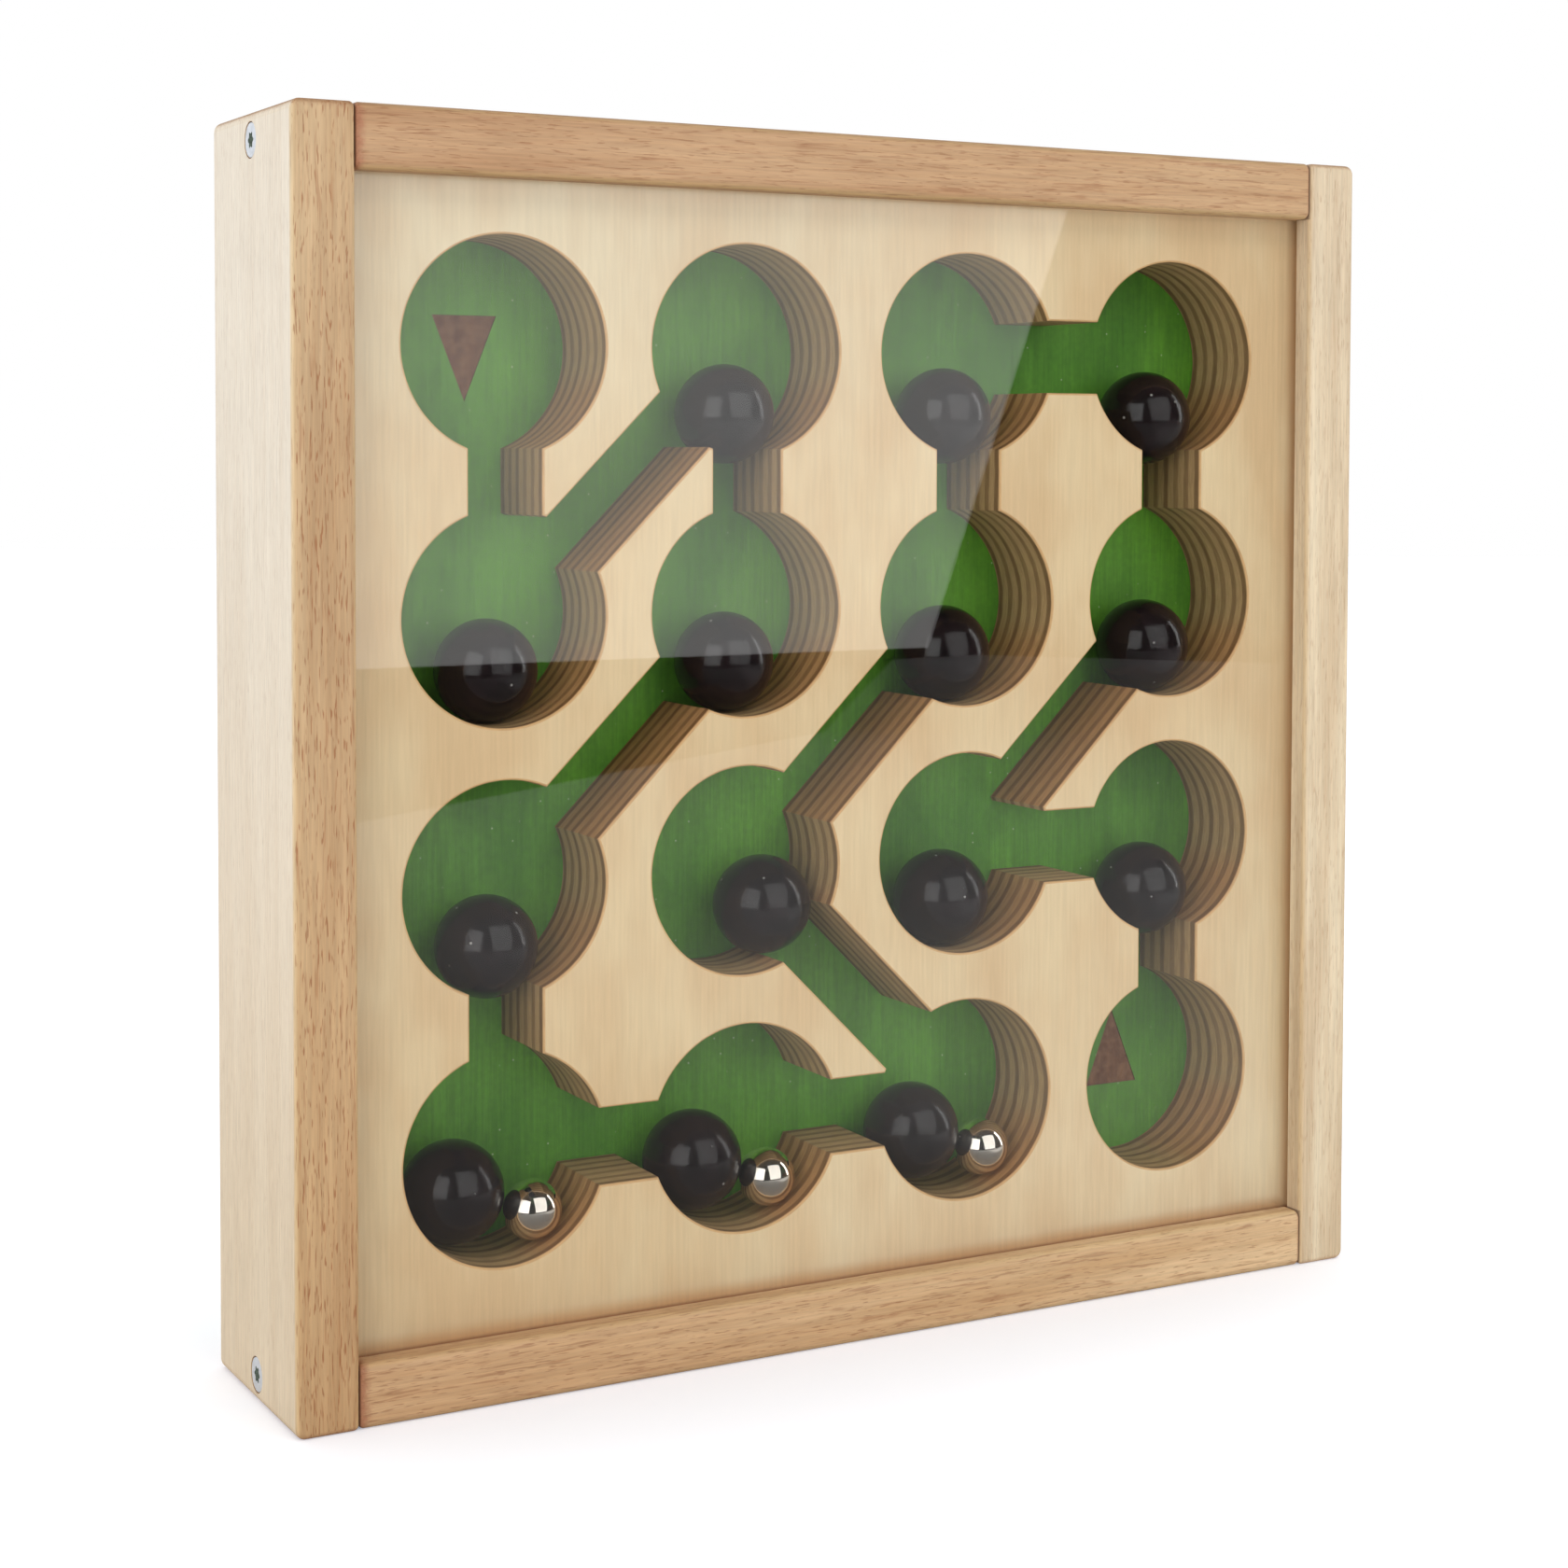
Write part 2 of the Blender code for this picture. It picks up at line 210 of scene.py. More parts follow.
def turned(outline: Sequence[tuple[float, float]], steps: int) -> Shape:
    """Turn an outline about the X axis into a closed body.

    Args:
        outline: Points as (distance from the axis, place on the axis).
        steps: The number of steps round the axis.

    Returns:
        The body.
    """
    shape = bmesh.new()
    points = [shape.verts.new((along, away, 0)) for away, along in outline]
    edges = [shape.edges.new(pair) for pair in zip(points, points[1:])]
    bmesh.ops.spin(shape, geom=points + edges, cent=(0, 0, 0), axis=(1, 0, 0),
                   angle=math.tau, steps=steps, use_merge=True)
    bmesh.ops.remove_doubles(shape, verts=shape.verts, dist=MERGE_DISTANCE)
    bmesh.ops.recalc_face_normals(shape, faces=shape.faces)
    return shape


def place(shape: Shape, where: Vector, turn: Matrix | None = None) -> Shape:
    """Turn a shape about its origin and move it.

    Args:
        shape: The shape.
        where: The point to which its origin goes.
        turn: The turn, or None for none.

    Returns:
        The same shape.
    """
    if turn is not None:
        bmesh.ops.rotate(shape, verts=shape.verts, matrix=turn)
    bmesh.ops.translate(shape, vec=where, verts=shape.verts)
    return shape


def to_object(name: str, shape: Shape) -> bpy.types.Object:
    """Put a shape into a new object at the origin and free it."""
    mesh = bpy.data.meshes.new(name)
    shape.to_mesh(mesh)
    shape.free()
    thing = bpy.data.objects.new(name, mesh)
    bpy.context.scene.collection.objects.link(thing)
    return thing


def settled(thing: bpy.types.Object) -> Shape:
    """Take an object with its modifiers applied as a shape, and remove the object."""
    graph = bpy.context.evaluated_depsgraph_get()
    mesh = bpy.data.meshes.new_from_object(thing.evaluated_get(graph))
    shape = bmesh.new()
    shape.from_mesh(mesh)
    bpy.data.meshes.remove(mesh)
    bpy.data.objects.remove(thing)
    return shape


def carve(shape: Shape, cutters: Sequence[Shape]) -> Shape:
    """Cut some shapes out of a shape.

    Args:
        shape: The shape to cut.
        cutters: What is cut out of it.

    Returns:
        The cut shape.
    """
    target = to_object("carved", shape)
    tools = [to_object(f"cutter_{number}", cutter) for number, cutter in enumerate(cutters)]
    for tool in tools:
        modifier = target.modifiers.new(tool.name, "BOOLEAN")
        modifier.operation = "DIFFERENCE"
        modifier.solver = "EXACT"
        modifier.object = tool
    result = settled(target)
    for tool in tools:
        bpy.data.objects.remove(tool)
    bmesh.ops.remove_doubles(result, verts=result.verts, dist=MERGE_DISTANCE)
    bmesh.ops.dissolve_degenerate(result, edges=result.edges, dist=MERGE_DISTANCE)
    return result


# Node trees


class Value:
    """What a node gives, ready to be reckoned with."""

    def __init__(self, graph: "Graph", socket: Socket) -> None:
        """Keep the graph and the node's output."""
        self.graph = graph
        self.socket = socket

    def __add__(self, other: object) -> "Value":
        """Add another number."""
        return self.graph.math("ADD", self, other)

    def __sub__(self, other: object) -> "Value":
        """Take another number away."""
        return self.graph.math("SUBTRACT", self, other)

    def __rsub__(self, other: float) -> "Value":
        """Take this away from a plain number."""
        return self.graph.math("SUBTRACT", other, self)

    def __mul__(self, other: object) -> "Value":
        """Multiply by another number."""
        return self.graph.math("MULTIPLY", self, other)

    def __truediv__(self, other: object) -> "Value":
        """Divide by another number."""
        return self.graph.math("DIVIDE", self, other)

    def __abs__(self) -> "Value":
        """Drop the sign."""
        return self.graph.math("ABSOLUTE", self)

    def span(self, low: float, high: float, start: float = 0.0, end: float = 1.0) -> "Value":
        """Spread the stretch between two levels over another one, softly.

        Args:
            low: The level that becomes the start.
            high: The level that becomes the end.
            start: The result at the low level and beyond it.
            end: The result at the high level and beyond it.

        Returns:
            The result.
        """
        node = self.graph.add("MapRange", clamp=True, interpolation_type="SMOOTHSTEP")
        for socket, number in zip(node.inputs, (self, low, high, start, end)):
            self.graph.feed(socket, number)
        return Value(self.graph, node.outputs[0])


class Graph:
    """A node tree, with short ways to add what the finishes need."""

    vector: Value

    def __init__(self, tree: bpy.types.NodeTree) -> None:
        """Keep the tree to which the nodes go."""
        self.tree = tree

    @functools.cached_property
    def axes(self) -> list[Value]:
        """The X, Y and Z of the coordinates that vector holds."""
        return self.parts(self.vector)

    def add(self, kind: str, **settings: object) -> bpy.types.Node:
        """Add a node and set it. Its kind is its type without the leading words."""
        node = self.tree.nodes.new("ShaderNode" + kind)
        for name, value in settings.items():
            setattr(node, name, value)
        return node

    def feed(self, socket: Socket, value: object) -> None:
        """Give an input its value, from a node or as a plain number or colour."""
        if isinstance(value, Value):
            self.tree.links.new(value.socket, socket)
        elif socket.type == "RGBA":
            socket.default_value = (*value, 1.0)
        else:
            socket.default_value = value

    def made(self, kind: str, inputs: dict[int | str, object], output: int | str = 0,
             **settings: object) -> Value:
        """Add a node and use it.

        Args:
            kind: The node's type, without its leading words.
            inputs: What its inputs get, by their numbers or names.
            output: The output that is wanted.
            settings: The node's own settings, by name.

        Returns:
            The output.
        """
        node = self.add(kind, **settings)
        for name, value in inputs.items():
            self.feed(node.inputs[name], value)
        return Value(self, node.outputs[output])

    def math(self, operation: str, first: object, second: object = 0.0) -> Value:
        """Work out a number from two others."""
        return self.made("Math", {0: first, 1: second}, operation=operation)

    def blend(self, share: object, first: object, second: object,
              kind: str = "MIX") -> Value:
        """Blend two colours, the share being the second's."""
        return self.made("Mix", {0: share, 6: first, 7: second}, 2, data_type="RGBA",
                         blend_type=kind)

    def shade(self, colour: object, by: object) -> Value:
        """Multiply a colour by another one or by a number."""
        return self.blend(1.0, colour, by, "MULTIPLY")

    def tint(self, share: object, colour: Value, by: Colour) -> Value:
        """Multiply a colour by another one as far as the share says."""
        return self.blend(share, colour, self.shade(colour, by))

    def stretch(self, vector: Value, scale: Sequence[float],
                turn: Sequence[float] = (0.0, 0.0, 0.0)) -> Value:
        """Turn and scale the coordinates of a pattern."""
        return self.made("Mapping", {"Vector": vector, "Rotation": turn, "Scale": scale})

    def noise(self, vector: Value, scale: float | tuple[float, float, float],
              detail: float = 2.0, roughness: float = 0.5) -> Value:
        """Add a noise from 0 to 1, stretched where the scale has three parts."""
        if isinstance(scale, tuple):
            vector, scale = self.stretch(vector, scale), 1.0
        return self.made("TexNoise", {"Vector": vector, "Scale": scale, "Detail": detail,
                                      "Roughness": roughness}, "Fac")

    def bump(self, height: Value, depth: float) -> Value:
        """Turn a height from 0 to 1 into a normal, the height 1 being a depth in metres."""
        return self.made("Bump", {"Height": height, "Distance": depth, "Strength": 1.0})

    def parts(self, vector: Value) -> list[Value]:
        """Split a vector into its X, Y and Z."""
        node = self.add("SeparateXYZ")
        self.feed(node.inputs[0], vector)
        return [Value(self, output) for output in node.outputs]

    def ray(self, kind: str) -> Value:
        """Say whether a ray is of a kind: Camera, Glossy, Diffuse or Shadow."""
        return self.made("LightPath", {}, f"Is {kind} Ray")

    def group(self, tree: bpy.types.NodeTree, **inputs: object) -> dict[str, Value]:
        """Place a shared group, feed its inputs and take its outputs, by their names."""
        node = self.add("Group", node_tree=tree)
        for name, value in inputs.items():
            self.feed(node.inputs[name], value)
        return {output.name: Value(self, output) for output in node.outputs}


class SharedGroup(Graph):
    """A node group that several finishes share, with a Vector and numbers as inputs."""

    def __init__(self, name: str, *numbers: str) -> None:
        """Start the group, given its name and the names of its numbers."""
        super().__init__(bpy.data.node_groups.new(name, "ShaderNodeTree"))
        self.declare("Vector", "INPUT", "NodeSocketVector")
        for label in numbers:
            self.declare(label, "INPUT")
        entry = self.tree.nodes.new("NodeGroupInput").outputs
        self.vector = Value(self, entry["Vector"])
        self.numbers = [Value(self, entry[label]) for label in numbers]

    def declare(self, label: str, way: str, kind: str = "NodeSocketFloat") -> None:
        """Add an input or an output to the group."""
        self.tree.interface.new_socket(name=label, in_out=way, socket_type=kind)

    def done(self, **outputs: Value) -> bpy.types.NodeTree:
        """Add the outputs, feed them and give the group."""
        for label in outputs:
            self.declare(label, "OUTPUT")
        leave = self.tree.nodes.new("NodeGroupOutput").inputs
        for label, value in outputs.items():
            self.feed(leave[label], value)
        return self.tree


class Look(Graph):
    """A material in the making, with its shader and its Object coordinates."""

    def __init__(self, name: str) -> None:
        """Start the material."""
        self.material = bpy.data.materials.new(name)
        self.material.use_nodes = True
        super().__init__(self.material.node_tree)
        self.shader = self.tree.nodes["Principled BSDF"]
        self.vector = self.made("TexCoord", {}, "Object")

    def wear(self, **inputs: object) -> bpy.types.Material:
        """Feed the shader, with _ for a space in its inputs' names, and give the material."""
        for name, value in inputs.items():
            self.feed(self.shader.inputs[name.replace("_", " ")], value)
        return self.material


@functools.cache
def grain_group() -> bpy.types.NodeTree:
    """Make the group that draws beech along Z: broad streaks, dark lines and short pores.

    Returns:
        The group, with the outputs Streak, Line, Pore, Fine and Height.
    """
    group = SharedGroup("beech_grain")
    vector = group.vector
    sway = group.noise(vector, (60, 60, 40), 1.0) * (1.6 * MILLIMETRE)
    bent = group.made("VectorMath", {0: vector, 1: sway}, operation="ADD")
    line = group.noise(bent, (1300, 1300, 75), 2.0, 0.55).span(0.57, 0.69)
    pore = group.noise(bent, (2900, 2900, 250), 1.0).span(0.60, 0.71)
    fine = group.noise(vector, (2200, 2200, 60), 3.0, 0.65)
    return group.done(Streak=group.noise(vector, (150, 150, 9), 4.0, 0.6), Line=line,
                      Pore=pore, Fine=fine, Height=fine - pore)


@functools.cache
def veneer_group() -> bpy.types.NodeTree:
    """Make the group that draws a sheet's fine upright grain and its clouds.

    Returns:
        The group, with the outputs Line, Cloud and Height.
    """
    group = SharedGroup("sheet_grain")
    line = group.noise(group.vector, (1500, 400, 60), 2.0, 0.6)
    cloud = group.noise(group.vector, (45, 45, 22), 3.0, 0.55)
    return group.done(Line=line, Cloud=cloud, Height=line)


@functools.cache
def joint_group() -> bpy.types.NodeTree:
    """Make the group that finds the four joints of the frame, seen from the front, for a dark
    line there that stands for dirt and for painted shade in the joint's groove.

    Returns:
        The group, with the output Dirt.
    """
    group = SharedGroup("joint_dirt")
    opening = Maze().opening
    away = abs(abs(group.axes[0]) - opening.high.x)
    level = abs(group.axes[2] - opening.middle.z)
    beside = group.math("GREATER_THAN", level, opening.size.z / 2)
    return group.done(Dirt=away.span(0.45 * MILLIMETRE, 0.1 * MILLIMETRE) * beside)


@functools.cache
def dust_group() -> bpy.types.NodeTree:
    """Make the group that strews small specks of dust over the cells of a grid.

    Returns:
        The group, with the inputs Density, of the cells, and Share, of those with dust
        in them, and the output Speck.
    """
    group = SharedGroup("dust", "Density", "Share")
    density, share = group.numbers
    cells = group.add("TexVoronoi", feature="F1")
    group.feed(cells.inputs["Vector"], group.vector)
    group.feed(cells.inputs["Scale"], density)
    spot = Value(group, cells.outputs["Distance"]).span(0.15, 0.06)
    chance = group.made("SeparateColor", {0: Value(group, cells.outputs["Color"])})
    return group.done(Speck=spot * group.math("LESS_THAN", chance, share))


@functools.cache
def layer_group() -> bpy.types.NodeTree:
    """Make the group that draws the layers of plywood across Y.

    Returns:
        The group, with the inputs Front, the place of the first dark layer, and Pitch,
        the way from one to the next, and the outputs Layer, Glue and Fibre.
    """
    group = SharedGroup("plywood_layers", "Front", "Pitch")
    front, pitch = group.numbers
    waver = (group.noise(group.vector, 140.0) - 0.5) * (0.9 * MILLIMETRE)
    depth = (group.axes[1] + waver - front) / pitch + 10.5
    away = abs(group.math("FRACT", depth) - 0.5)
    own = group.made("TexWhiteNoise", {"W": group.math("FLOOR", depth)},
                     noise_dimensions="1D")
    return group.done(Layer=away.span(0.23, 0.12) * own.span(*FULL, 0.6, 1.0),
                      Glue=away.span(0.14, 0.20) * away.span(0.26, 0.20),
                      Fibre=group.noise(group.vector, (240, 2600, 240), 2.0, 0.6))


# Finishes


@dataclass(frozen=True)
class Drift:
    """A slow change of a wood's colour along an axis, 0 for X or 2 for Z."""

    axis: int
    start: float
    end: float
    tint: Colour

    def over(self, look: Look, wood: Value, share: object = 1.0) -> Value:
        """Lay the change over a wood's colour, as far as the share says."""
        slow = look.axes[self.axis].span(self.start, self.end)
        return look.tint(slow * share, wood, self.tint)


@dataclass(frozen=True)
class Beech:
    """Oiled beech, with its grain along one way.

    The piece says by the attributes of FACE_MARKS where its faces are: broad is 1 on the
    broad outer face, eased on the rounded long edges and end on the end grain. The stain
    at the low and the high end reaches as far as the two lengths say.
    """

    member: str
    grain: Grain
    pale: Colour
    deep: Colour
    broad: Colour
    eased: Colour
    end: Colour
    low_stain: float
    high_stain: float
    drift: Drift
    side_drift: Drift | None = None
    pore: Colour = paint(152, 90, 44)
    # The joints' dark line is dirt and painted shade in the groove between the members.
    joint: Colour = paint(88, 56, 42)
    edge: Colour = paint(146, 112, 74)
    streak_levels: Pair = (0.32, 0.68)
    fine_tone: Pair = (1.07, 0.90)
    pore_share: float = 0.7
    line_share: float = 0.35
    broad_streak_share: float = 0.12
    eased_share: float = 0.7
    end_share: float = 0.75
    edge_share: float = 0.6
    joint_share: float = 0.6
    broad_clean: float = 0.9
    broad_calm: float = 0.8
    edge_width: float = 1.3 * MILLIMETRE
    roughness: float = 0.5
    streak_roughness: float = 0.08
    end_roughness: float = 0.12
    pore_depth: float = 0.04 * MILLIMETRE

    def ends(self, look: Look) -> Value:
        """Find the stained ends of the member, as a share from 0 to 1."""
        block = Block.of(self.member)
        axis = 2 if self.grain is Grain.UPRIGHT else 0
        ragged = look.noise(look.vector, 700.0, *CLOUDY)
        stains = []
        for plane, way, reach in ((block.low[axis], 1.0, self.low_stain),
                                  (block.high[axis], -1.0, self.high_stain)):
            away = (look.axes[axis] - plane) * way + ragged * reach
            stains.append(away.span(1.5 * reach, 0.5 * reach))
        return look.math("MAXIMUM", *stains)

    def build(self, name: str) -> bpy.types.Material:
        """Make the material."""
        look = Look(name)
        laid = look.stretch(look.vector, (1, 1, 1), self.grain.value)
        grain = look.group(grain_group(), Vector=laid)
        broad, eased, end = (look.made("Attribute", {}, "Fac", attribute_name=mark)
                             for mark in FACE_MARKS)
        share = grain["Streak"].span(*self.streak_levels)
        wood = look.blend(share, self.pale, self.deep)
        faint = look.blend(share * self.broad_streak_share, self.broad, self.deep)
        wood = look.blend(broad, wood, faint)
        wood = look.blend(eased * self.eased_share, wood, self.eased)
        stained = look.math("MAXIMUM", end, self.ends(look)) * (1.0 - broad * self.broad_clean)
        wood = look.blend(stained * self.end_share, wood, self.end)
        upper = look.axes[2].span(CAD_BOX[1].z - self.edge_width, CAD_BOX[1].z)
        wood = look.blend(upper * self.edge_share, wood, self.edge)
        strength = 1.0 - broad * self.broad_calm
        for mark, amount in (("Line", self.line_share), ("Pore", self.pore_share)):
            wood = look.blend(grain[mark] * strength * amount, wood, self.pore)
        wood = look.shade(wood, grain["Fine"].span(*MOST, *self.fine_tone))
        wood = self.drift.over(look, wood)
        if self.side_drift:
            wood = self.side_drift.over(look, wood, broad)
        # The dark line in the joints: dirt and painted shade in their grooves.
        dirt = look.group(joint_group(), Vector=look.vector)["Dirt"]
        rough = share * self.streak_roughness + self.roughness + end * self.end_roughness
        return look.wear(Base_Color=look.blend(dirt * self.joint_share, wood, self.joint),
                         Roughness=rough, Normal=look.bump(grain["Height"], self.pore_depth))


@dataclass(frozen=True)
class BirchFace:
    """The birch veneer on the board's front, with a reddish band along two sides of its
    border, partly scorch and partly painted shade, and a painted shadow under the lip.

    It has painted light: it is paler in the upper left corner, at the lower right and
    under the top rail, where it lifts the rail's shadow. The spans are places across the
    board or up from its middle.
    """

    pale: Colour = paint(217, 194, 153)
    deep: Colour = paint(207, 177, 134)
    # The blush is partly scorch and partly painted shade; the border is a painted shadow under
    # the lip.
    blush: Colour = paint(192, 140, 88)
    border: Colour = paint(148, 98, 66)
    # The corner and foot tints are painted light, paler and cooler, at the upper left and lower
    # right.
    corner: Colour = (0.98, 1.06, 1.19)
    corner_across: Pair = (0.08, -0.04)
    corner_up: Pair = (0.04, 0.12)
    foot: Colour = (1.09, 1.15, 1.26)
    foot_across: Pair = (-0.05, 0.01)
    foot_up: Pair = (-0.085, -0.118)
    foot_lead: float = 1.7 * MILLIMETRE
    # The head tint is painted light, which lifts the top rail's shadow off the face.
    head: Colour = (1.26, 1.24, 1.24)
    head_reach: float = 5.5 * MILLIMETRE
    blush_span: Pair = (-2.0 * MILLIMETRE, 1.8 * MILLIMETRE)
    blush_share: float = 0.7
    border_span: Pair = (1.6 * MILLIMETRE, 2.7 * MILLIMETRE)
    line_tone: Pair = (1.04, 0.95)
    roughness: Pair = (0.55, 0.63)
    pore_depth: float = 0.02 * MILLIMETRE

    def build(self, name: str) -> bpy.types.Material:
        """Make the material."""
        look = Look(name)
        sheet = look.group(veneer_group(), Vector=look.vector)
        share = sheet["Cloud"].span(*MOST)
        wood = look.blend(share, self.pale, self.deep)
        opening = Maze().opening
        half = opening.size.z / 2
        right = look.axes[0]
        level = look.axes[2] - opening.middle.z
        # Painted light: paler and cooler in the upper left corner and at the lower right.
        corner = right.span(*self.corner_across) * level.span(*self.corner_up)
        wood = look.tint(corner, wood, self.corner)
        foot = right.span(*self.foot_across) * level.span(*self.foot_up)
        wood = look.tint(foot, wood, self.foot)
        # Painted light under the top rail, where the rail's shadow falls.
        wood = look.tint((level - half).span(-self.head_reach, 0.0), wood, self.head)
        # Painted shade: a reddish band at the right and bottom border, partly scorch, and a
        # darker painted shadow beyond it, under the frame's lip.
        beyond = look.math("MAXIMUM", right, self.foot_lead - level) - half
        blush = beyond.span(*self.blush_span, 0.0, self.blush_share)
        wood = look.blend(blush, wood, self.blush)
        wood = look.blend(beyond.span(*self.border_span), wood, self.border)
        line = sheet["Line"].span(*WIDE, *self.line_tone)
        return look.wear(Base_Color=look.shade(wood, line),
                         Roughness=share.span(*FULL, *self.roughness),
                         Normal=look.bump(sheet["Height"], self.pore_depth))


@dataclass(frozen=True)
class PlywoodEdge:
    """The layers of the board, as a cut through it shows them.

    The cut gets a painted shade, darker and redder, where it faces up and to the left.
    """

    light: Colour
    dark: Colour
    glue: Colour
    scorch: Colour
    scorch_share: float
    glue_share: float = 0.5
    # A painted shade, darker and redder, on the walls that face up and to the left.
    slant_shade: Colour = (1.02, 0.80, 0.68)
    slant_shade_span: Pair = (1.15, 1.40)
    fibre_tone: Pair = (1.12, 0.84)
    patch_tone: Pair = (0.75, 1.0)
    pitch: float = 4.4 * MILLIMETRE
    first_layer: float = 1.4 * MILLIMETRE
    roughness: Pair = (0.7, 0.55)
    fibre_depth: float = 0.05 * MILLIMETRE

    def build(self, name: str) -> bpy.types.Material:
        """Make the material."""
        look = Look(name)
        front = Block.of("maze_board").low.y + self.first_layer
        cut = look.group(layer_group(), Vector=look.vector, Front=front, Pitch=self.pitch)
        wood = look.blend(cut["Layer"], self.light, self.dark)
        wood = look.blend(cut["Glue"] * self.glue_share, wood, self.glue)
        wood = look.shade(wood, cut["Fibre"].span(*MOST, *self.fibre_tone))
        facing = look.parts(look.made("NewGeometry", {}, "Normal"))
        # Painted shade, darker and redder, where the cut faces up and to the left.
        wood = look.tint((facing[2] - facing[0]).span(*self.slant_shade_span), wood, self.slant_shade)
        patch = look.noise(look.vector, 260.0).span(*WIDE, *self.patch_tone)
        return look.wear(Base_Color=look.blend(patch * self.scorch_share, wood, self.scorch),
                         Roughness=cut["Glue"].span(*FULL, *self.roughness),
                         Normal=look.bump(cut["Fibre"], self.fibre_depth))


@dataclass(frozen=True)
class GreenStain:
    """Green stain on the back panel, uneven and a little dusty."""

    bright: Colour = paint(92, 158, 32)
    deep: Colour = paint(68, 128, 20)
    dust: Colour = paint(196, 205, 170)
    dust_density: float = 560.0
    dusty_cells: float = 0.10
    dust_share: float = 0.75
    cloud_levels: Pair = (0.3, 0.72)
    line_tone: Pair = (1.10, 0.86)
    mottle_tone: Pair = (1.07, 0.93)
    roughness: Pair = (0.5, 0.62)
    grain_depth: float = 0.03 * MILLIMETRE

    def build(self, name: str) -> bpy.types.Material:
        """Make the material."""
        look = Look(name)
        sheet = look.group(veneer_group(), Vector=look.vector)
        share = sheet["Cloud"].span(*self.cloud_levels)
        stain = look.blend(share, self.bright, self.deep)
        stain = look.shade(stain, sheet["Line"].span(*WIDE, *self.line_tone))
        mottle = look.noise(look.vector, 650.0, *CLOUDY)
        stain = look.shade(stain, mottle.span(*MOST, *self.mottle_tone))
        dust = look.group(dust_group(), Vector=look.vector, Density=self.dust_density,
                          Share=self.dusty_cells)
        speck = dust["Speck"] * self.dust_share
        return look.wear(Base_Color=look.blend(speck, stain, self.dust),
                         Roughness=share.span(*FULL, *self.roughness),
                         Normal=look.bump(sheet["Height"], self.grain_depth))


@dataclass(frozen=True)
class BurntMark:
    """The uneven brown of the two burnt triangles."""

    pale: Colour = paint(127, 86, 48)
    deep: Colour = paint(103, 60, 29)
    line_tone: Pair = (1.08, 0.88)
    roughness: Pair = (0.7, 0.85)
    char_depth: float = 0.05 * MILLIMETRE

    def build(self, name: str) -> bpy.types.Material:
        """Make the material."""
        look = Look(name)
        line = look.group(veneer_group(), Vector=look.vector)["Line"]
        char = look.noise(look.vector, 420.0, *CLOUDY)
        brown = look.blend(char.span(*MOST), self.pale, self.deep)
        return look.wear(Base_Color=look.shade(brown, line.span(*WIDE, *self.line_tone)),
                         Roughness=char.span(*MOST, *self.roughness),
                         Normal=look.bump(char, self.char_depth))


@dataclass(frozen=True)
class ClearSheet:
    """Clear acrylic that lets the lamps' light through to what is behind it."""

    tint: Colour = (0.985, 0.99, 0.985)
    index: float = 1.49
    smear_levels: Pair = (0.55, 0.8)
    smear: float = 0.012

    def build(self, name: str) -> bpy.types.Material:
        """Make the material."""
        look = Look(name)
        smears = look.noise(look.vector, (14, 14, 30), *CLOUDY)
        look.wear(Base_Color=self.tint, IOR=self.index, Transmission_Weight=1.0,
                  Roughness=smears.span(*self.smear_levels, 0.0, self.smear))
        clear = look.made("BsdfTransparent", {})
        seen = Value(look, look.shader.outputs[0])
        for kind in ("Diffuse", "Shadow"):
            seen = look.made("MixShader", {0: look.ray(kind), 1: seen, 2: clear})
        look.feed(look.tree.nodes["Material Output"].inputs["Surface"], seen)
        return look.material


@dataclass(frozen=True)
class Zinc:
    """Bright zinc plate, or the same with dirt in it."""

    colour: Colour
    dirt: Colour
    dirt_share: float
    dirt_levels: Pair = (0.35, 0.75)
    roughness: Pair = (0.3, 0.45)
    pit_depth: float = 0.01 * MILLIMETRE

    def build(self, name: str) -> bpy.types.Material:
        """Make the material."""
        look = Look(name)
        patch = look.noise(look.vector, 900.0, *CLOUDY)
        share = patch.span(*self.dirt_levels, 0.0, self.dirt_share)
        return look.wear(Base_Color=look.blend(share, self.colour, self.dirt), Metallic=1.0,
                         Roughness=patch.span(*MOST, *self.roughness),
                         Normal=look.bump(patch, self.pit_depth))


@dataclass(frozen=True)
class BlackLacquer:
    """Satin black lacquer over wood, with a little dust on it."""

    colour: Colour = paint(14, 7, 8)
    worn: Colour = paint(25, 14, 16)
    worn_levels: Pair = (0.35, 0.7)
    dust: Colour = paint(170, 168, 162)
    dust_density: float = 330.0
    dusty_cells: float = 0.08
    dust_share: float = 0.65
    roughness: Pair = (0.13, 0.18)
    specular: float = 0.44

    def build(self, name: str) -> bpy.types.Material:
        """Make the material."""
        look = Look(name)
        cloud = look.noise(look.vector, 130.0, *CLOUDY)
        coat = look.blend(cloud.span(*self.worn_levels), self.colour, self.worn)
        dust = look.group(dust_group(), Vector=look.vector, Density=self.dust_density,
                          Share=self.dusty_cells)
        speck = dust["Speck"] * self.dust_share
        return look.wear(Base_Color=look.blend(speck, coat, self.dust),
                         Specular_IOR_Level=self.specular,
                         Roughness=cloud.span(*MOST, *self.roughness))


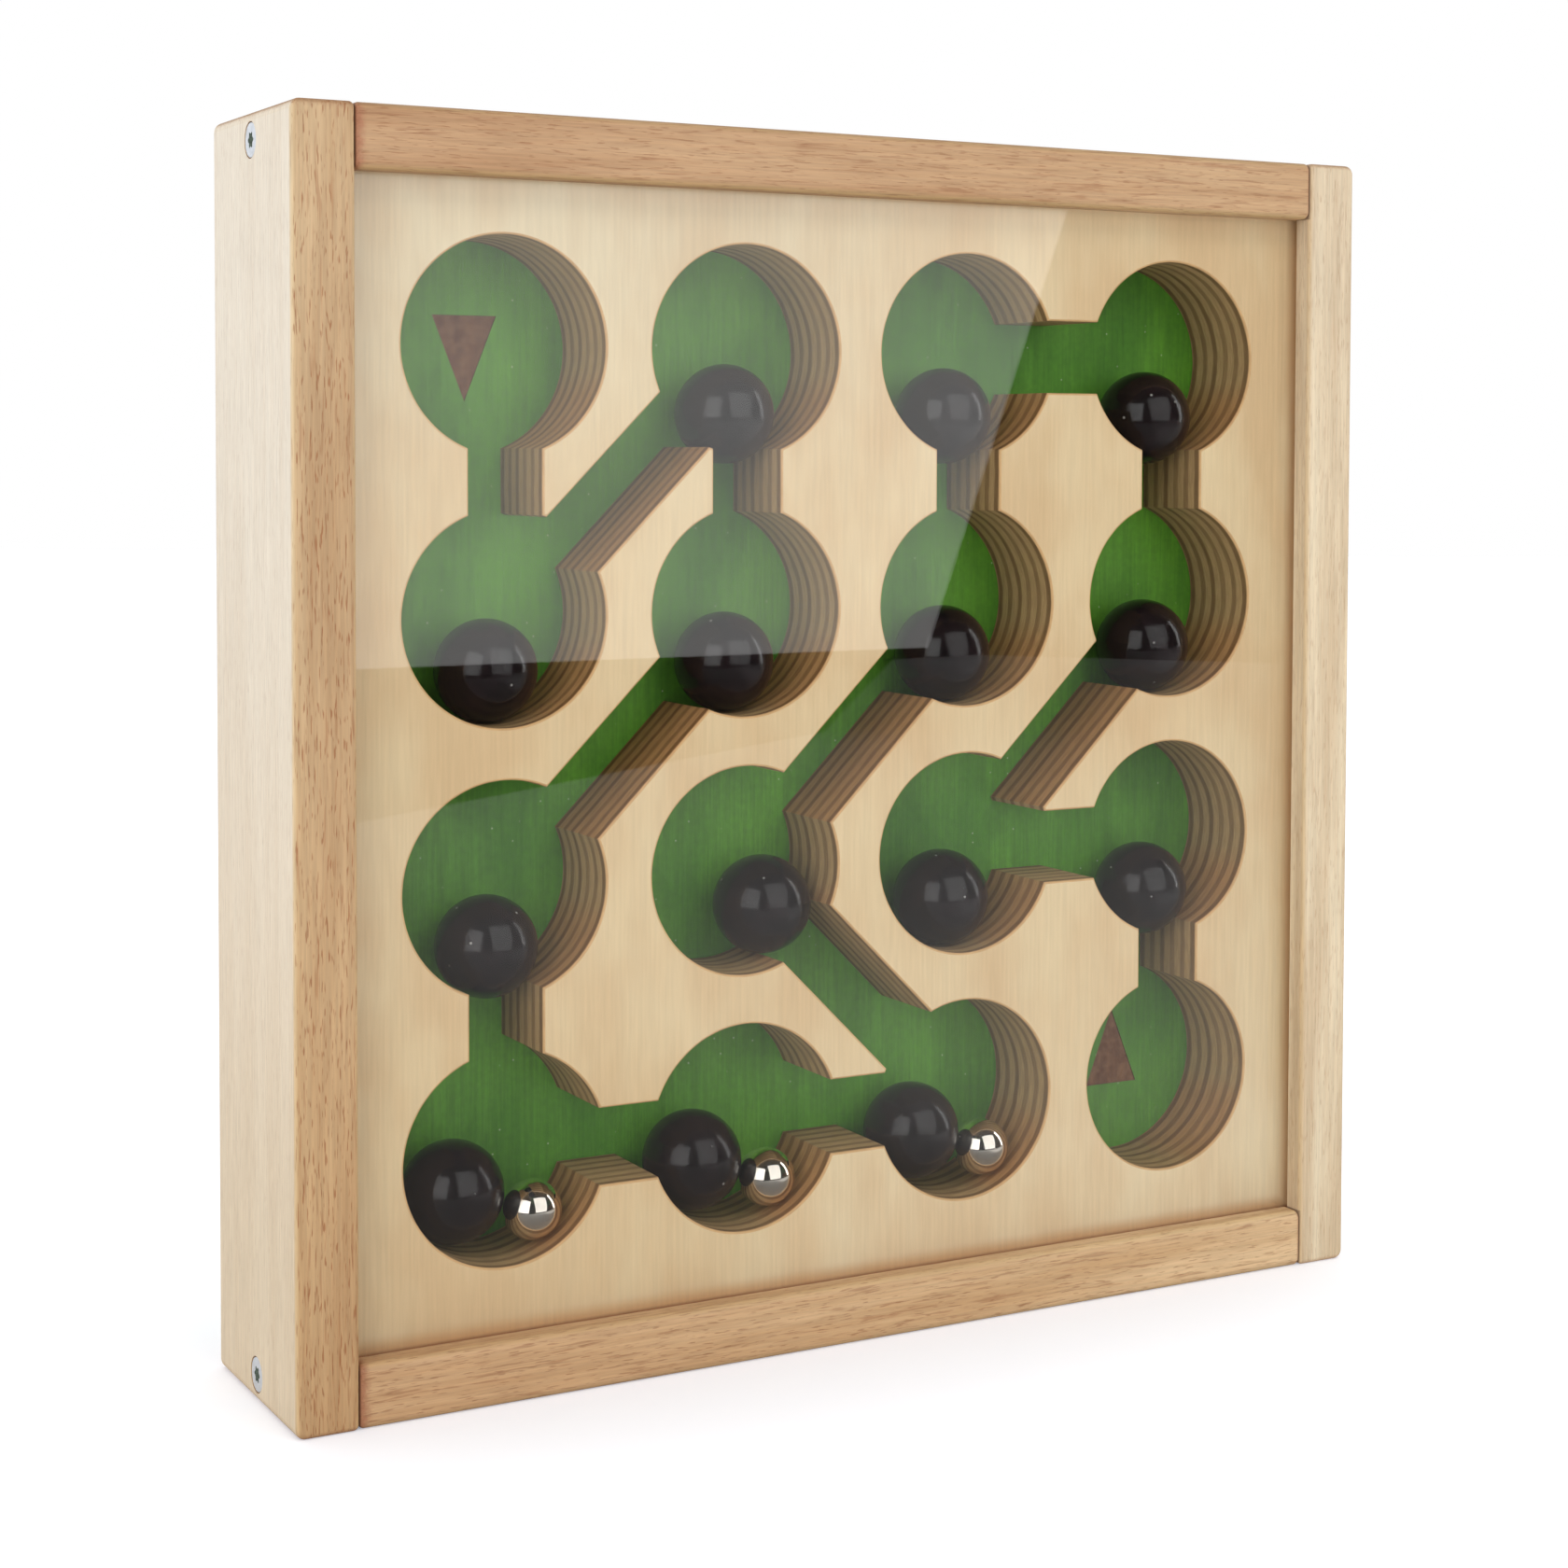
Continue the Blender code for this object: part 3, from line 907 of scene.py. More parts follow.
@dataclass(frozen=True)
class PolishedSteel:
    """Polished steel with very fine scratches."""

    # Both colours are warmed by a painted reflection of the beech around the balls.
    colour: Colour = (0.93, 0.86, 0.77)
    shade: Colour = (0.84, 0.77, 0.69)
    film_levels: Pair = (0.4, 0.7)
    scratch_levels: Pair = (0.35, 0.75)
    roughness: Pair = (0.04, 0.11)

    def build(self, name: str) -> bpy.types.Material:
        """Make the material."""
        look = Look(name)
        scratch = look.noise(look.vector, (2600, 300, 900), 2.0, 0.6)
        film = look.noise(look.vector, 240.0).span(*self.film_levels)
        return look.wear(Base_Color=look.blend(film, self.colour, self.shade), Metallic=1.0,
                         Roughness=scratch.span(*self.scratch_levels, *self.roughness))


level_beech = functools.partial(
    Beech, grain=Grain.LEVEL, end=paint(168, 106, 76), low_stain=2.6 * MILLIMETRE,
    high_stain=0.4 * MILLIMETRE, pore=paint(146, 92, 54), pore_share=0.45, line_share=0.4)


class Finish(Enum):
    """The finishes of the puzzle."""

    # The left stile's broad outer side is paler wood with a painted sheen from the lamp at the
    # left.
    STILE = Beech("left_stile", Grain.UPRIGHT, pale=paint(202, 171, 131),
                  deep=paint(182, 147, 107), broad=paint(234, 223, 205),
                  eased=paint(216, 188, 142), end=paint(166, 120, 84),
                  low_stain=1.0 * MILLIMETRE, high_stain=2.0 * MILLIMETRE,
                  drift=Drift(2, 0.24, 0.02, (0.95, 0.88, 0.785)),
                  side_drift=Drift(2, 0.12, 0.02, (0.91, 0.895, 0.86)))
    # The right stile's drift is painted shade, darker towards the top, where the light is
    # brighter.
    PALE_STILE = Beech("right_stile", Grain.UPRIGHT, pale=paint(228, 211, 180),
                       deep=paint(206, 183, 150), broad=paint(228, 213, 187),
                       eased=paint(214, 185, 138), end=paint(206, 164, 126),
                       low_stain=0.6 * MILLIMETRE, high_stain=0.6 * MILLIMETRE,
                       drift=Drift(2, 0.14, 0.29, (0.90, 0.88, 0.88)),
                       pore=paint(172, 124, 86), pore_share=0.34, line_share=0.14)
    RAIL = level_beech("top_rail", pale=paint(198, 162, 122), deep=paint(180, 140, 100),
                       broad=paint(198, 162, 122), eased=paint(198, 168, 118),
                       drift=Drift(0, 0.13, -0.13, (0.95, 0.91, 0.90)))
    LOW_RAIL = level_beech("bottom_rail", pale=paint(220, 188, 146),
                           deep=paint(200, 163, 119), broad=paint(220, 188, 146),
                           eased=paint(214, 186, 138),
                           drift=Drift(0, 0.13, -0.13, (0.82, 0.73, 0.67)))
    FACE = BirchFace()
    WALL = PlywoodEdge(light=paint(180, 151, 104), dark=paint(122, 96, 62),
                       glue=paint(98, 70, 44), scorch=paint(148, 96, 60), scorch_share=0.15)
    RIM = PlywoodEdge(light=paint(206, 171, 121), dark=paint(196, 157, 107),
                      glue=paint(182, 141, 95), scorch=paint(196, 149, 99), scorch_share=0.5)
    STAIN = GreenStain()
    BURNT = BurntMark()
    ACRYLIC = ClearSheet()
    ZINC = Zinc((0.74, 0.78, 0.84), (0.52, 0.54, 0.57), 0.35)
    DRIVE = Zinc((0.66, 0.72, 0.66), (0.26, 0.30, 0.27), 0.8, roughness=(0.40, 0.55))
    LACQUER = BlackLacquer()
    STEEL = PolishedSteel()

    @functools.cache
    def material(self) -> bpy.types.Material:
        """Give the finish's material, made when it is first asked for."""
        return self.value.build("finish_" + self.name.lower())


# Pieces


@dataclass
class Piece:
    """A piece that stands for one node of the frame.

    The faces' numbers for their materials are places in its finishes.
    """

    node: str
    slot: Slot
    finishes: tuple[Finish, ...]
    body: str = "case"

    @property
    def block(self) -> Block:
        """The box of its node."""
        return Block.of(self.node)

    def shape(self) -> Shape:
        """Make the piece's shape."""
        raise NotImplementedError

    def mark(self, shape: Shape) -> None:
        """Give the faces their materials and attributes. Most pieces need none."""

    def build(self) -> bpy.types.Object:
        """Make the piece, dress it and set it on its body.

        Returns:
            The finished piece.
        """
        shape = self.shape()
        self.mark(shape)
        rough = to_object(self.node + "_rough", shape)
        for finish in self.finishes:
            rough.data.materials.append(finish.material())
        rough.data.shade_smooth()
        rough.data.set_sharp_from_angle(angle=SMOOTH_ANGLE)
        weigh = rough.modifiers.new("even_shading", "WEIGHTED_NORMAL")
        weigh.keep_sharp = True
        graph = bpy.context.evaluated_depsgraph_get()
        mesh = bpy.data.meshes.new_from_object(rough.evaluated_get(graph))
        bpy.data.objects.remove(rough)
        mesh.name = self.node + "_looks"
        piece = bpy.data.objects.new(self.node + "_looks", mesh)
        bpy.context.scene.collection.objects.link(piece)
        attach(piece, self.body)
        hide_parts(self.node)
        LOG.info("%s: %d faces", piece.name, len(mesh.polygons))
        return piece


@dataclass
class ScrewSizes:
    """The sizes of a countersunk wood screw with a six-pointed drive."""

    shank_radius: float = 2.0 * MILLIMETRE
    thread_reach: float = 0.55 * MILLIMETRE
    thread_pitch: float = 1.8 * MILLIMETRE
    root_end: float = 0.55
    crest: float = 0.78
    rim_depth: float = 0.5 * MILLIMETRE
    cone_depth: float = 2.1 * MILLIMETRE
    tip_length: float = 5.0 * MILLIMETRE
    smooth_length: float = 8.0 * MILLIMETRE
    edge_round: float = 0.18 * MILLIMETRE
    drive_radius: float = 1.95 * MILLIMETRE
    drive_core_radius: float = 1.40 * MILLIMETRE
    drive_depth: float = 1.6 * MILLIMETRE
    steps: int = 48
    lobes: int = 6

    @property
    def cone_end(self) -> float:
        """Where the head's cone ends on the screw's axis, the head's top being 0."""
        return -self.rim_depth - self.cone_depth

    @property
    def core_radius(self) -> float:
        """The radius at the thread's root."""
        return self.shank_radius - self.thread_reach


def screw_turn(side: int) -> Matrix:
    """The turn that points a screw's head out to the right, at 1, or to the left, at -1."""
    return Matrix.Rotation(0.0 if side > 0 else math.pi, 3, "Z")


def screw_head(node: str) -> tuple[Vector, int]:
    """Find the middle of a screw's head and the side to which it points."""
    block = Block.of(node)
    side = 1 if block.middle.x > 0 else -1
    outer = block.high.x if side > 0 else block.low.x
    return Vector((outer, block.middle.y, block.middle.z)), side


def screw_hole(node: str, sizes: ScrewSizes) -> Shape:
    """Make the cutter for a screw's hole, a little wider than the screw.

    Args:
        node: The screw's node.
        sizes: The screw's sizes.

    Returns:
        The cutter, in its place.
    """
    block = Block.of(node)
    head = block.size.z / 2 + FIT_GAP / 2
    shank = sizes.shank_radius + FIT_GAP
    length = block.size.x + FIT_GAP
    outline = [(0, OVERRUN), (head, OVERRUN), (head, -sizes.rim_depth),
               (shank, sizes.cone_end), (shank, -length), (0, -length)]
    where, side = screw_head(node)
    return place(turned(outline, sizes.steps), where, screw_turn(side))


@dataclass
class Member(Piece):
    """A member of the frame: a beech bar with rounded edges, a groove and screw holes."""

    grain: Grain = Grain.UPRIGHT
    screws: tuple[str, ...] = ()
    broad_from: float = 0.6
    broad_over: float = 0.35
    full_bend: float = 0.29
    long_round: float = 2.0 * MILLIMETRE
    end_round: float = 1.2 * MILLIMETRE
    steps: int = 6

    def bar(self) -> Block:
        """The bar before it is rounded and cut."""
        return self.block

    def groove(self) -> Block:
        """The room that the groove takes, wider than the sheets that it holds."""
        window = Block.of("window")
        high = Vector((window.high.x, Block.of("back_panel").high.y, window.high.z))
        gap = Vector((FIT_GAP, FIT_GAP, FIT_GAP))
        return Block(window.low - gap, high + gap)

    def rounded(self) -> Shape:
        """Round the bar's long edges, then its ends."""
        shape = self.bar().shape()
        axis = 2 if self.grain is Grain.UPRIGHT else 0
        ease(shape, [edge for edge in shape.edges if runs_along(edge, axis)],
             self.long_round, self.steps)
        ends = [face for face in shape.faces if abs(face.normal[axis]) > STEEP]
        ease(shape, {edge for face in ends for edge in face.edges}, self.end_round, self.steps)
        return shape

    def shape(self) -> Shape:
        """Round the bar, then cut the groove and the screw holes."""
        sizes = ScrewSizes()
        holes = [screw_hole(node, sizes) for node in self.screws]
        return carve(self.rounded(), [self.groove().shape(), *holes])

    def mark(self, shape: Shape) -> None:
        """Say by attributes where the broad outer face, the eased edges and the ends are."""
        shape.normal_update()
        layers = [shape.loops.layers.float.new(name) for name in FACE_MARKS]
        upright = self.grain is Grain.UPRIGHT
        along = Vector((0, 0, 1)) if upright else Vector((1, 0, 0))
        outward = math.copysign(1.0, self.block.middle.x)
        for face in shape.faces:
            flat = max(abs(part) for part in face.normal) > FLAT
            for loop in face.loops:
                normal = face.normal if flat else loop.vert.normal
                end = abs(normal.dot(along))
                across = normal - normal.dot(along) * along
                bend = min(abs(across.y), across.length - abs(across.y))
                broad = upright * (normal.x * outward - self.broad_from) / self.broad_over
                eased = min(bend / self.full_bend, 1.0) * (1 - end)
                for layer, value in zip(layers, (min(max(broad, 0.0), 1.0), eased, end)):
                    loop[layer] = value


@dataclass
class Stile(Member):
    """An upright of the frame, rounder at its outer corners than along its edges."""

    slot: Slot = Slot.STILE
    finishes: tuple[Finish, ...] = (Finish.STILE,)
    corner_round: float = 2.3 * MILLIMETRE
    edge_round: float = 1.3 * MILLIMETRE

    def rounded(self) -> Shape:
        """Round the bar's two outer corners, then all its edges alike."""
        shape = self.bar().shape()
        outer = math.copysign(1.0, self.block.middle.x) * self.block.middle.x
        ease(shape, [edge for edge in shape.edges if runs_along(edge, 1)
                     and abs(edge.verts[0].co.x) > outer], self.corner_round, self.steps)
        shape.normal_update()
        ease(shape, [edge for edge in shape.edges if edge.calc_face_angle() > SMOOTH_ANGLE],
             self.edge_round, self.steps)
        return shape


@dataclass
class Rail(Member):
    """A cross member, which meets the stiles in tight joints."""

    slot: Slot = Slot.RAIL
    finishes: tuple[Finish, ...] = (Finish.RAIL,)
    grain: Grain = Grain.LEVEL
    joint_gap: float = 0.05 * MILLIMETRE

    def bar(self) -> Block:
        """The node's bar, made longer so that its joints are tight."""
        reach = Vector((FIT_GAP - self.joint_gap, 0, 0))
        return Block(self.block.low - reach, self.block.high + reach)

    def groove(self) -> Block:
        """The groove, which runs the whole length of the rail."""
        across = super().groove()
        reach = self.block.size.x / 2 + OVERRUN
        return Block(Vector((-reach, *across.low.yz)), Vector((reach, *across.high.yz)))


@dataclass
class Screw(Piece):
    """A countersunk wood screw with a six-pointed drive."""

    slot: Slot = Slot.SCREW
    finishes: tuple[Finish, ...] = (Finish.ZINC, Finish.DRIVE)
    drive_slack: float = 1.1

    def outline(self, sizes: ScrewSizes) -> list[tuple[float, float]]:
        """The screw's outline below its top face, from the head's edge to the tip."""
        head = self.block.size.z / 2
        length = self.block.size.x
        core, shank, pitch = sizes.core_radius, sizes.shank_radius, sizes.thread_pitch
        points = [(head - sizes.edge_round, 0), (head, -sizes.edge_round),
                  (head, -sizes.rim_depth), (shank, sizes.cone_end)]
        along = sizes.cone_end - sizes.smooth_length
        while along > pitch - length + sizes.tip_length:
            points += [(core, along), (core, along - sizes.root_end * pitch),
                       (shank, along - sizes.crest * pitch)]
            along -= pitch
        return points + [(core, sizes.tip_length - length), (0, -length)]

    def shape(self) -> Shape:
        """Turn the screw, then sink the drive into its head."""
        sizes = ScrewSizes()
        shape = turned([(0, 0), *self.outline(sizes)], sizes.steps)
        star = bmesh.new()
        bmesh.ops.create_circle(star, cap_ends=True, segments=sizes.steps, radius=1.0,
                                matrix=Matrix.Rotation(math.pi / 2, 4, "Y"))
        middle = (sizes.drive_radius + sizes.drive_core_radius) / 2
        swing = (sizes.drive_radius - sizes.drive_core_radius) / 2
        for corner in star.verts:
            angle = math.atan2(corner.co.z, corner.co.y)
            reach = middle + swing * math.cos(sizes.lobes * angle)
            corner.co = (OVERRUN, reach * math.cos(angle), reach * math.sin(angle))
        pushed = bmesh.ops.extrude_face_region(star, geom=star.faces[:])
        moved = [item for item in pushed["geom"] if isinstance(item, bmesh.types.BMVert)]
        bmesh.ops.translate(star, vec=(-OVERRUN - sizes.drive_depth, 0, 0), verts=moved)
        bmesh.ops.recalc_face_normals(star, faces=star.faces)
        where, side = screw_head(self.node)
        return place(carve(shape, [star]), where, screw_turn(side))

    def mark(self, shape: Shape) -> None:
        """Give the drive's recess the dirty finish."""
        where, side = screw_head(self.node)
        sizes = ScrewSizes()
        for face in shape.faces:
            out = face.calc_center_median() - where
            below = -out.x * side
            out.x = 0
            flat = face.normal.x * side > STEEP
            sunk = TOUCH < below < sizes.drive_depth * self.drive_slack
            inside = sunk and out.length < sizes.drive_radius
            face.material_index = int(inside and (flat or face.normal.dot(out) < 0))


@dataclass
class Window(Piece):
    """The clear sheet before the board."""

    slot: Slot = Slot.WINDOW
    finishes: tuple[Finish, ...] = (Finish.ACRYLIC,)
    edge_round: float = 0.25 * MILLIMETRE

    def shape(self) -> Shape:
        """A sheet with its edges broken."""
        shape = self.block.shape()
        ease(shape, shape.edges[:], self.edge_round, 2)
        return shape


@dataclass
class Maze:
    """Where the chambers and channels of the maze are."""

    count: int = 4
    chamber_diameter: float = 49.8 * MILLIMETRE
    channel_width: float = 18.0 * MILLIMETRE
    side_margin_share: float = 1.12
    top_margin_share: float = 1.02
    bottom_margin_share: float = 1.22
    way: tuple[tuple[int, int], ...] = (
        (1, 1), (2, 1), (1, 2), (2, 2), (3, 1), (4, 1), (4, 2), (4, 3),
        (3, 2), (2, 3), (1, 3), (1, 4), (2, 4), (3, 3), (3, 4), (4, 4))
    ball_map: tuple[str, ...] = (".ooo", "ffff", "osfo", "bbb.")

    @property
    def opening(self) -> Block:
        """The opening between the frame's members."""
        low = Vector((Block.of("left_stile").high.x, 0, Block.of("bottom_rail").high.z))
        high = Vector((Block.of("right_stile").low.x, 0, Block.of("top_rail").low.z))
        return Block(low, high)

    def wall(self, length: float, margins: float) -> float:
        """The wall between two chambers.

        Args:
            length: The opening's length.
            margins: The share of both margins, in walls.

        Returns:
            The wall's thickness.
        """
        left_over = length - self.count * self.chamber_diameter
        return left_over / (self.count - 1 + margins)

    def centre(self, row: int, column: int) -> Vector:
        """The middle of a chamber, at the depth zero."""
        opening = self.opening
        across = self.wall(opening.size.x, 2 * self.side_margin_share)
        down = self.wall(opening.size.z, self.top_margin_share + self.bottom_margin_share)
        radius = self.chamber_diameter / 2
        x = (opening.low.x + self.side_margin_share * across + radius
             + (column - 1) * (self.chamber_diameter + across))
        z = (opening.high.z - self.top_margin_share * down - radius
             - (row - 1) * (self.chamber_diameter + down))
        return Vector((x, 0, z))

    def lies(self, row: int, column: int) -> Lies:
        """How the black ball of a chamber lies."""
        return Lies(self.ball_map[row - 1][column - 1])


@dataclass
class MazeBoard(Piece):
    """The thick plywood board with its chambers and channels."""

    slot: Slot = Slot.BOARD
    finishes: tuple[Finish, ...] = (Finish.FACE, Finish.WALL, Finish.RIM)
    rim_round: float = 0.5 * MILLIMETRE
    rim_steps: int = 4
    chamber_steps: int = 112

    def shape(self) -> Shape:
        """Cut the chambers and channels, then ease their front rims."""
        maze = Maze()
        block = self.block
        depth = Vector((0, block.middle.y, 0))
        through = block.size.y + 2 * OVERRUN
        cutters = []
        for spot in maze.way:
            disc = bmesh.new()
            bmesh.ops.create_cone(disc, cap_ends=True, segments=self.chamber_steps,
                                  radius1=maze.chamber_diameter / 2,
                                  radius2=maze.chamber_diameter / 2, depth=through)
            cutters.append(place(disc, maze.centre(*spot) + depth,
                                 Matrix.Rotation(math.pi / 2, 3, "X")))
        for first, second in zip(maze.way, maze.way[1:]):
            start = maze.centre(*first)
            step = maze.centre(*second) - start
            half = Vector((step.length, through, maze.channel_width)) / 2
            turn = Matrix.Rotation(-math.atan2(step.z, step.x), 3, "Y")
            cutters.append(place(Block(-half, half).shape(), start + step / 2 + depth, turn))
        shape = carve(block.shape(), cutters)
        front = block.low.y
        rims = [edge for edge in shape.edges if self.is_rim(edge, front)]
        for face in ease(shape, rims, self.rim_round, self.rim_steps):
            face.material_index = self.finishes.index(Finish.RIM)
        return shape

    def is_rim(self, edge: bmesh.types.BMEdge, front: float) -> bool:
        """Say whether an edge joins the board's front to a chamber's or channel's wall."""
        if len(edge.link_faces) != 2:
            return False
        if max(abs(corner.co.y - front) for corner in edge.verts) > TOUCH:
            return False
        block = self.block
        inside = all(block.low.x + OVERRUN < corner.co.x < block.high.x - OVERRUN
                     and block.low.z + OVERRUN < corner.co.z < block.high.z - OVERRUN
                     for corner in edge.verts)
        slopes = sorted(abs(face.normal.y) for face in edge.link_faces)
        return inside and slopes[0] < 1 - STEEP and slopes[1] > STEEP

    def mark(self, shape: Shape) -> None:
        """Give the walls the plywood's edge."""
        for face in shape.faces:
            if face.material_index != self.finishes.index(Finish.RIM):
                face.material_index = int(abs(face.normal.y) < 0.5)


@dataclass
class BackPanel(Piece):
    """The stained panel with the start and end marks burnt into it."""

    slot: Slot = Slot.PANEL
    finishes: tuple[Finish, ...] = (Finish.STAIN, Finish.BURNT)
    mark_width: float = 16.0 * MILLIMETRE
    mark_height: float = 20.0 * MILLIMETRE
    mark_base: float = 7.7 * MILLIMETRE
    mark_depth: float = 0.4 * MILLIMETRE
    edge_round: float = 0.3 * MILLIMETRE

    def mark_cutter(self, chamber: tuple[int, int], way: int) -> Shape:
        """Make the cutter for one mark, whose tip points up at 1 and down at -1."""
        shape = bmesh.new()
        bmesh.ops.create_cone(shape, cap_ends=True, segments=3, radius1=1.0, radius2=1.0,
                              depth=2 * self.mark_depth)
        place(shape, Vector(), Matrix.Rotation(math.pi / 2, 3, "X"))
        across = [corner.co.x for corner in shape.verts]
        up = [corner.co.z for corner in shape.verts]
        width, height = max(across) - min(across), max(up) - min(up)
        bmesh.ops.translate(shape, vec=(0, 0, -min(up)), verts=shape.verts)
        bmesh.ops.scale(shape, vec=(self.mark_width / width, 1, self.mark_height / height),
                        verts=shape.verts)
        tip = max(shape.verts, key=lambda corner: corner.co.z).co.copy()
        points_up = sum(abs(corner.co.z - tip.z) < MILLIMETRE for corner in shape.verts) == 2
        bmesh.ops.translate(shape, vec=(0, 0, -self.mark_height / 2), verts=shape.verts)
        if points_up != (way > 0):
            bmesh.ops.rotate(shape, verts=shape.verts, matrix=Matrix.Rotation(math.pi, 3, "Y"))
        drop = way * (self.mark_height / 2 - self.mark_base)
        middle = Maze().centre(*chamber) + Vector((0, self.block.low.y, drop))
        return place(shape, middle)

    def shape(self) -> Shape:
        """Break the sheet's edges and cut the marks."""
        shape = self.block.shape()
        ease(shape, shape.edges[:], self.edge_round, 2)
        way = Maze().way
        return carve(shape, [self.mark_cutter(way[0], -1), self.mark_cutter(way[-1], 1)])

    def mark(self, shape: Shape) -> None:
        """Give the recesses of the marks their burnt finish."""
        block = self.block
        margin = 2 * self.edge_round
        for face in shape.faces:
            middle = face.calc_center_median()
            deep = middle.y - block.low.y
            sunk = TOUCH < deep < 1.5 * self.mark_depth
            inner = (abs(middle.x) < block.size.x / 2 - margin
                     and block.low.z + margin < middle.z < block.high.z - margin)
            face.material_index = int(sunk and inner)


@dataclass
class Ball(Piece):
    """A ball, made as a fine sphere."""

    steps: int = 72

    def shape(self) -> Shape:
        """Make a fine sphere in the ball's place."""
        shape = bmesh.new()
        bmesh.ops.create_uvsphere(shape, u_segments=self.steps, v_segments=self.steps // 2,
                                  radius=self.block.size.x / 2)
        return place(shape, self.block.middle)


@dataclass
class BlackBall(Ball):
    """A wooden ball in black lacquer."""

    slot: Slot = Slot.BLACK_BALL
    finishes: tuple[Finish, ...] = (Finish.LACQUER,)


@dataclass
class SteelBall(Ball):
    """A polished steel ball."""

    slot: Slot = Slot.STEEL_BALL
    finishes: tuple[Finish, ...] = (Finish.STEEL,)
    steps: int = 96




# Sub-assemblies


@dataclass
class BeechFrame:
    """The two stiles, the two rails and the four screws."""

    sides: tuple[tuple[str, Finish], ...] = (("left", Finish.STILE),
                                             ("right", Finish.PALE_STILE))
    levels: tuple[tuple[str, Finish], ...] = (("top", Finish.RAIL),
                                              ("bottom", Finish.LOW_RAIL))

    def build(self) -> list[bpy.types.Object]:
        """Build the members and the screws."""
        pieces = []
        for side, finish in self.sides:
            screws = tuple(f"screw_{level}_{side}" for level, _ in self.levels)
            pieces.append(Stile(f"{side}_stile", finishes=(finish,), screws=screws))
        for level, finish in self.levels:
            screws = tuple(f"screw_{level}_{side}" for side, _ in self.sides)
            pieces.append(Rail(f"{level}_rail", finishes=(finish,), screws=screws))
        for level, _ in self.levels:
            pieces += [Screw(f"screw_{level}_{side}") for side, _ in self.sides]
        return [piece.build() for piece in pieces]


@dataclass
class SheetStack:
    """The window, the board and the panel."""

    window: str = "window"
    board: str = "maze_board"
    panel: str = "back_panel"

    def build(self) -> list[bpy.types.Object]:
        """Build the three sheets."""
        return [Window(self.window).build(), MazeBoard(self.board).build(),
                BackPanel(self.panel).build()]


@dataclass
class LooseBalls:
    """The balls in the chambers."""

    maze: Maze

    def build(self) -> list[bpy.types.Object]:
        """Build the black and the steel balls."""
        pieces = []
        for row, column in sorted(self.maze.way):
            lies = self.maze.lies(row, column)
            if lies is not Lies.NOWHERE:
                name = f"black_ball_{row}_{column}"
                pieces.append(BlackBall(name, body=name).build())
            if lies is Lies.BESIDE_STEEL:
                name = f"steel_ball_{row}_{column}"
                pieces.append(SteelBall(name, body=name).build())
        return pieces


# The studio


@dataclass
class Softbox:
    """A square of soft light."""

    name: str
    middle: Vector
    aim: Vector
    width: float
    height: float
    radiance: float

    def build(self) -> None:
        """Hang the softbox so that it faces its aim, its lower edge level."""
        lamp = bpy.data.lights.new(self.name, "AREA")
        lamp.shape = "RECTANGLE"
        lamp.size = self.width
        lamp.size_y = self.height
        lamp.energy = self.radiance * math.pi * self.width * self.height
        thing = bpy.data.objects.new(self.name, lamp)
        bpy.context.scene.collection.objects.link(thing)
        thing.location = self.middle
        thing.rotation_euler = (self.aim - self.middle).to_track_quat("-Z", "Y").to_euler()


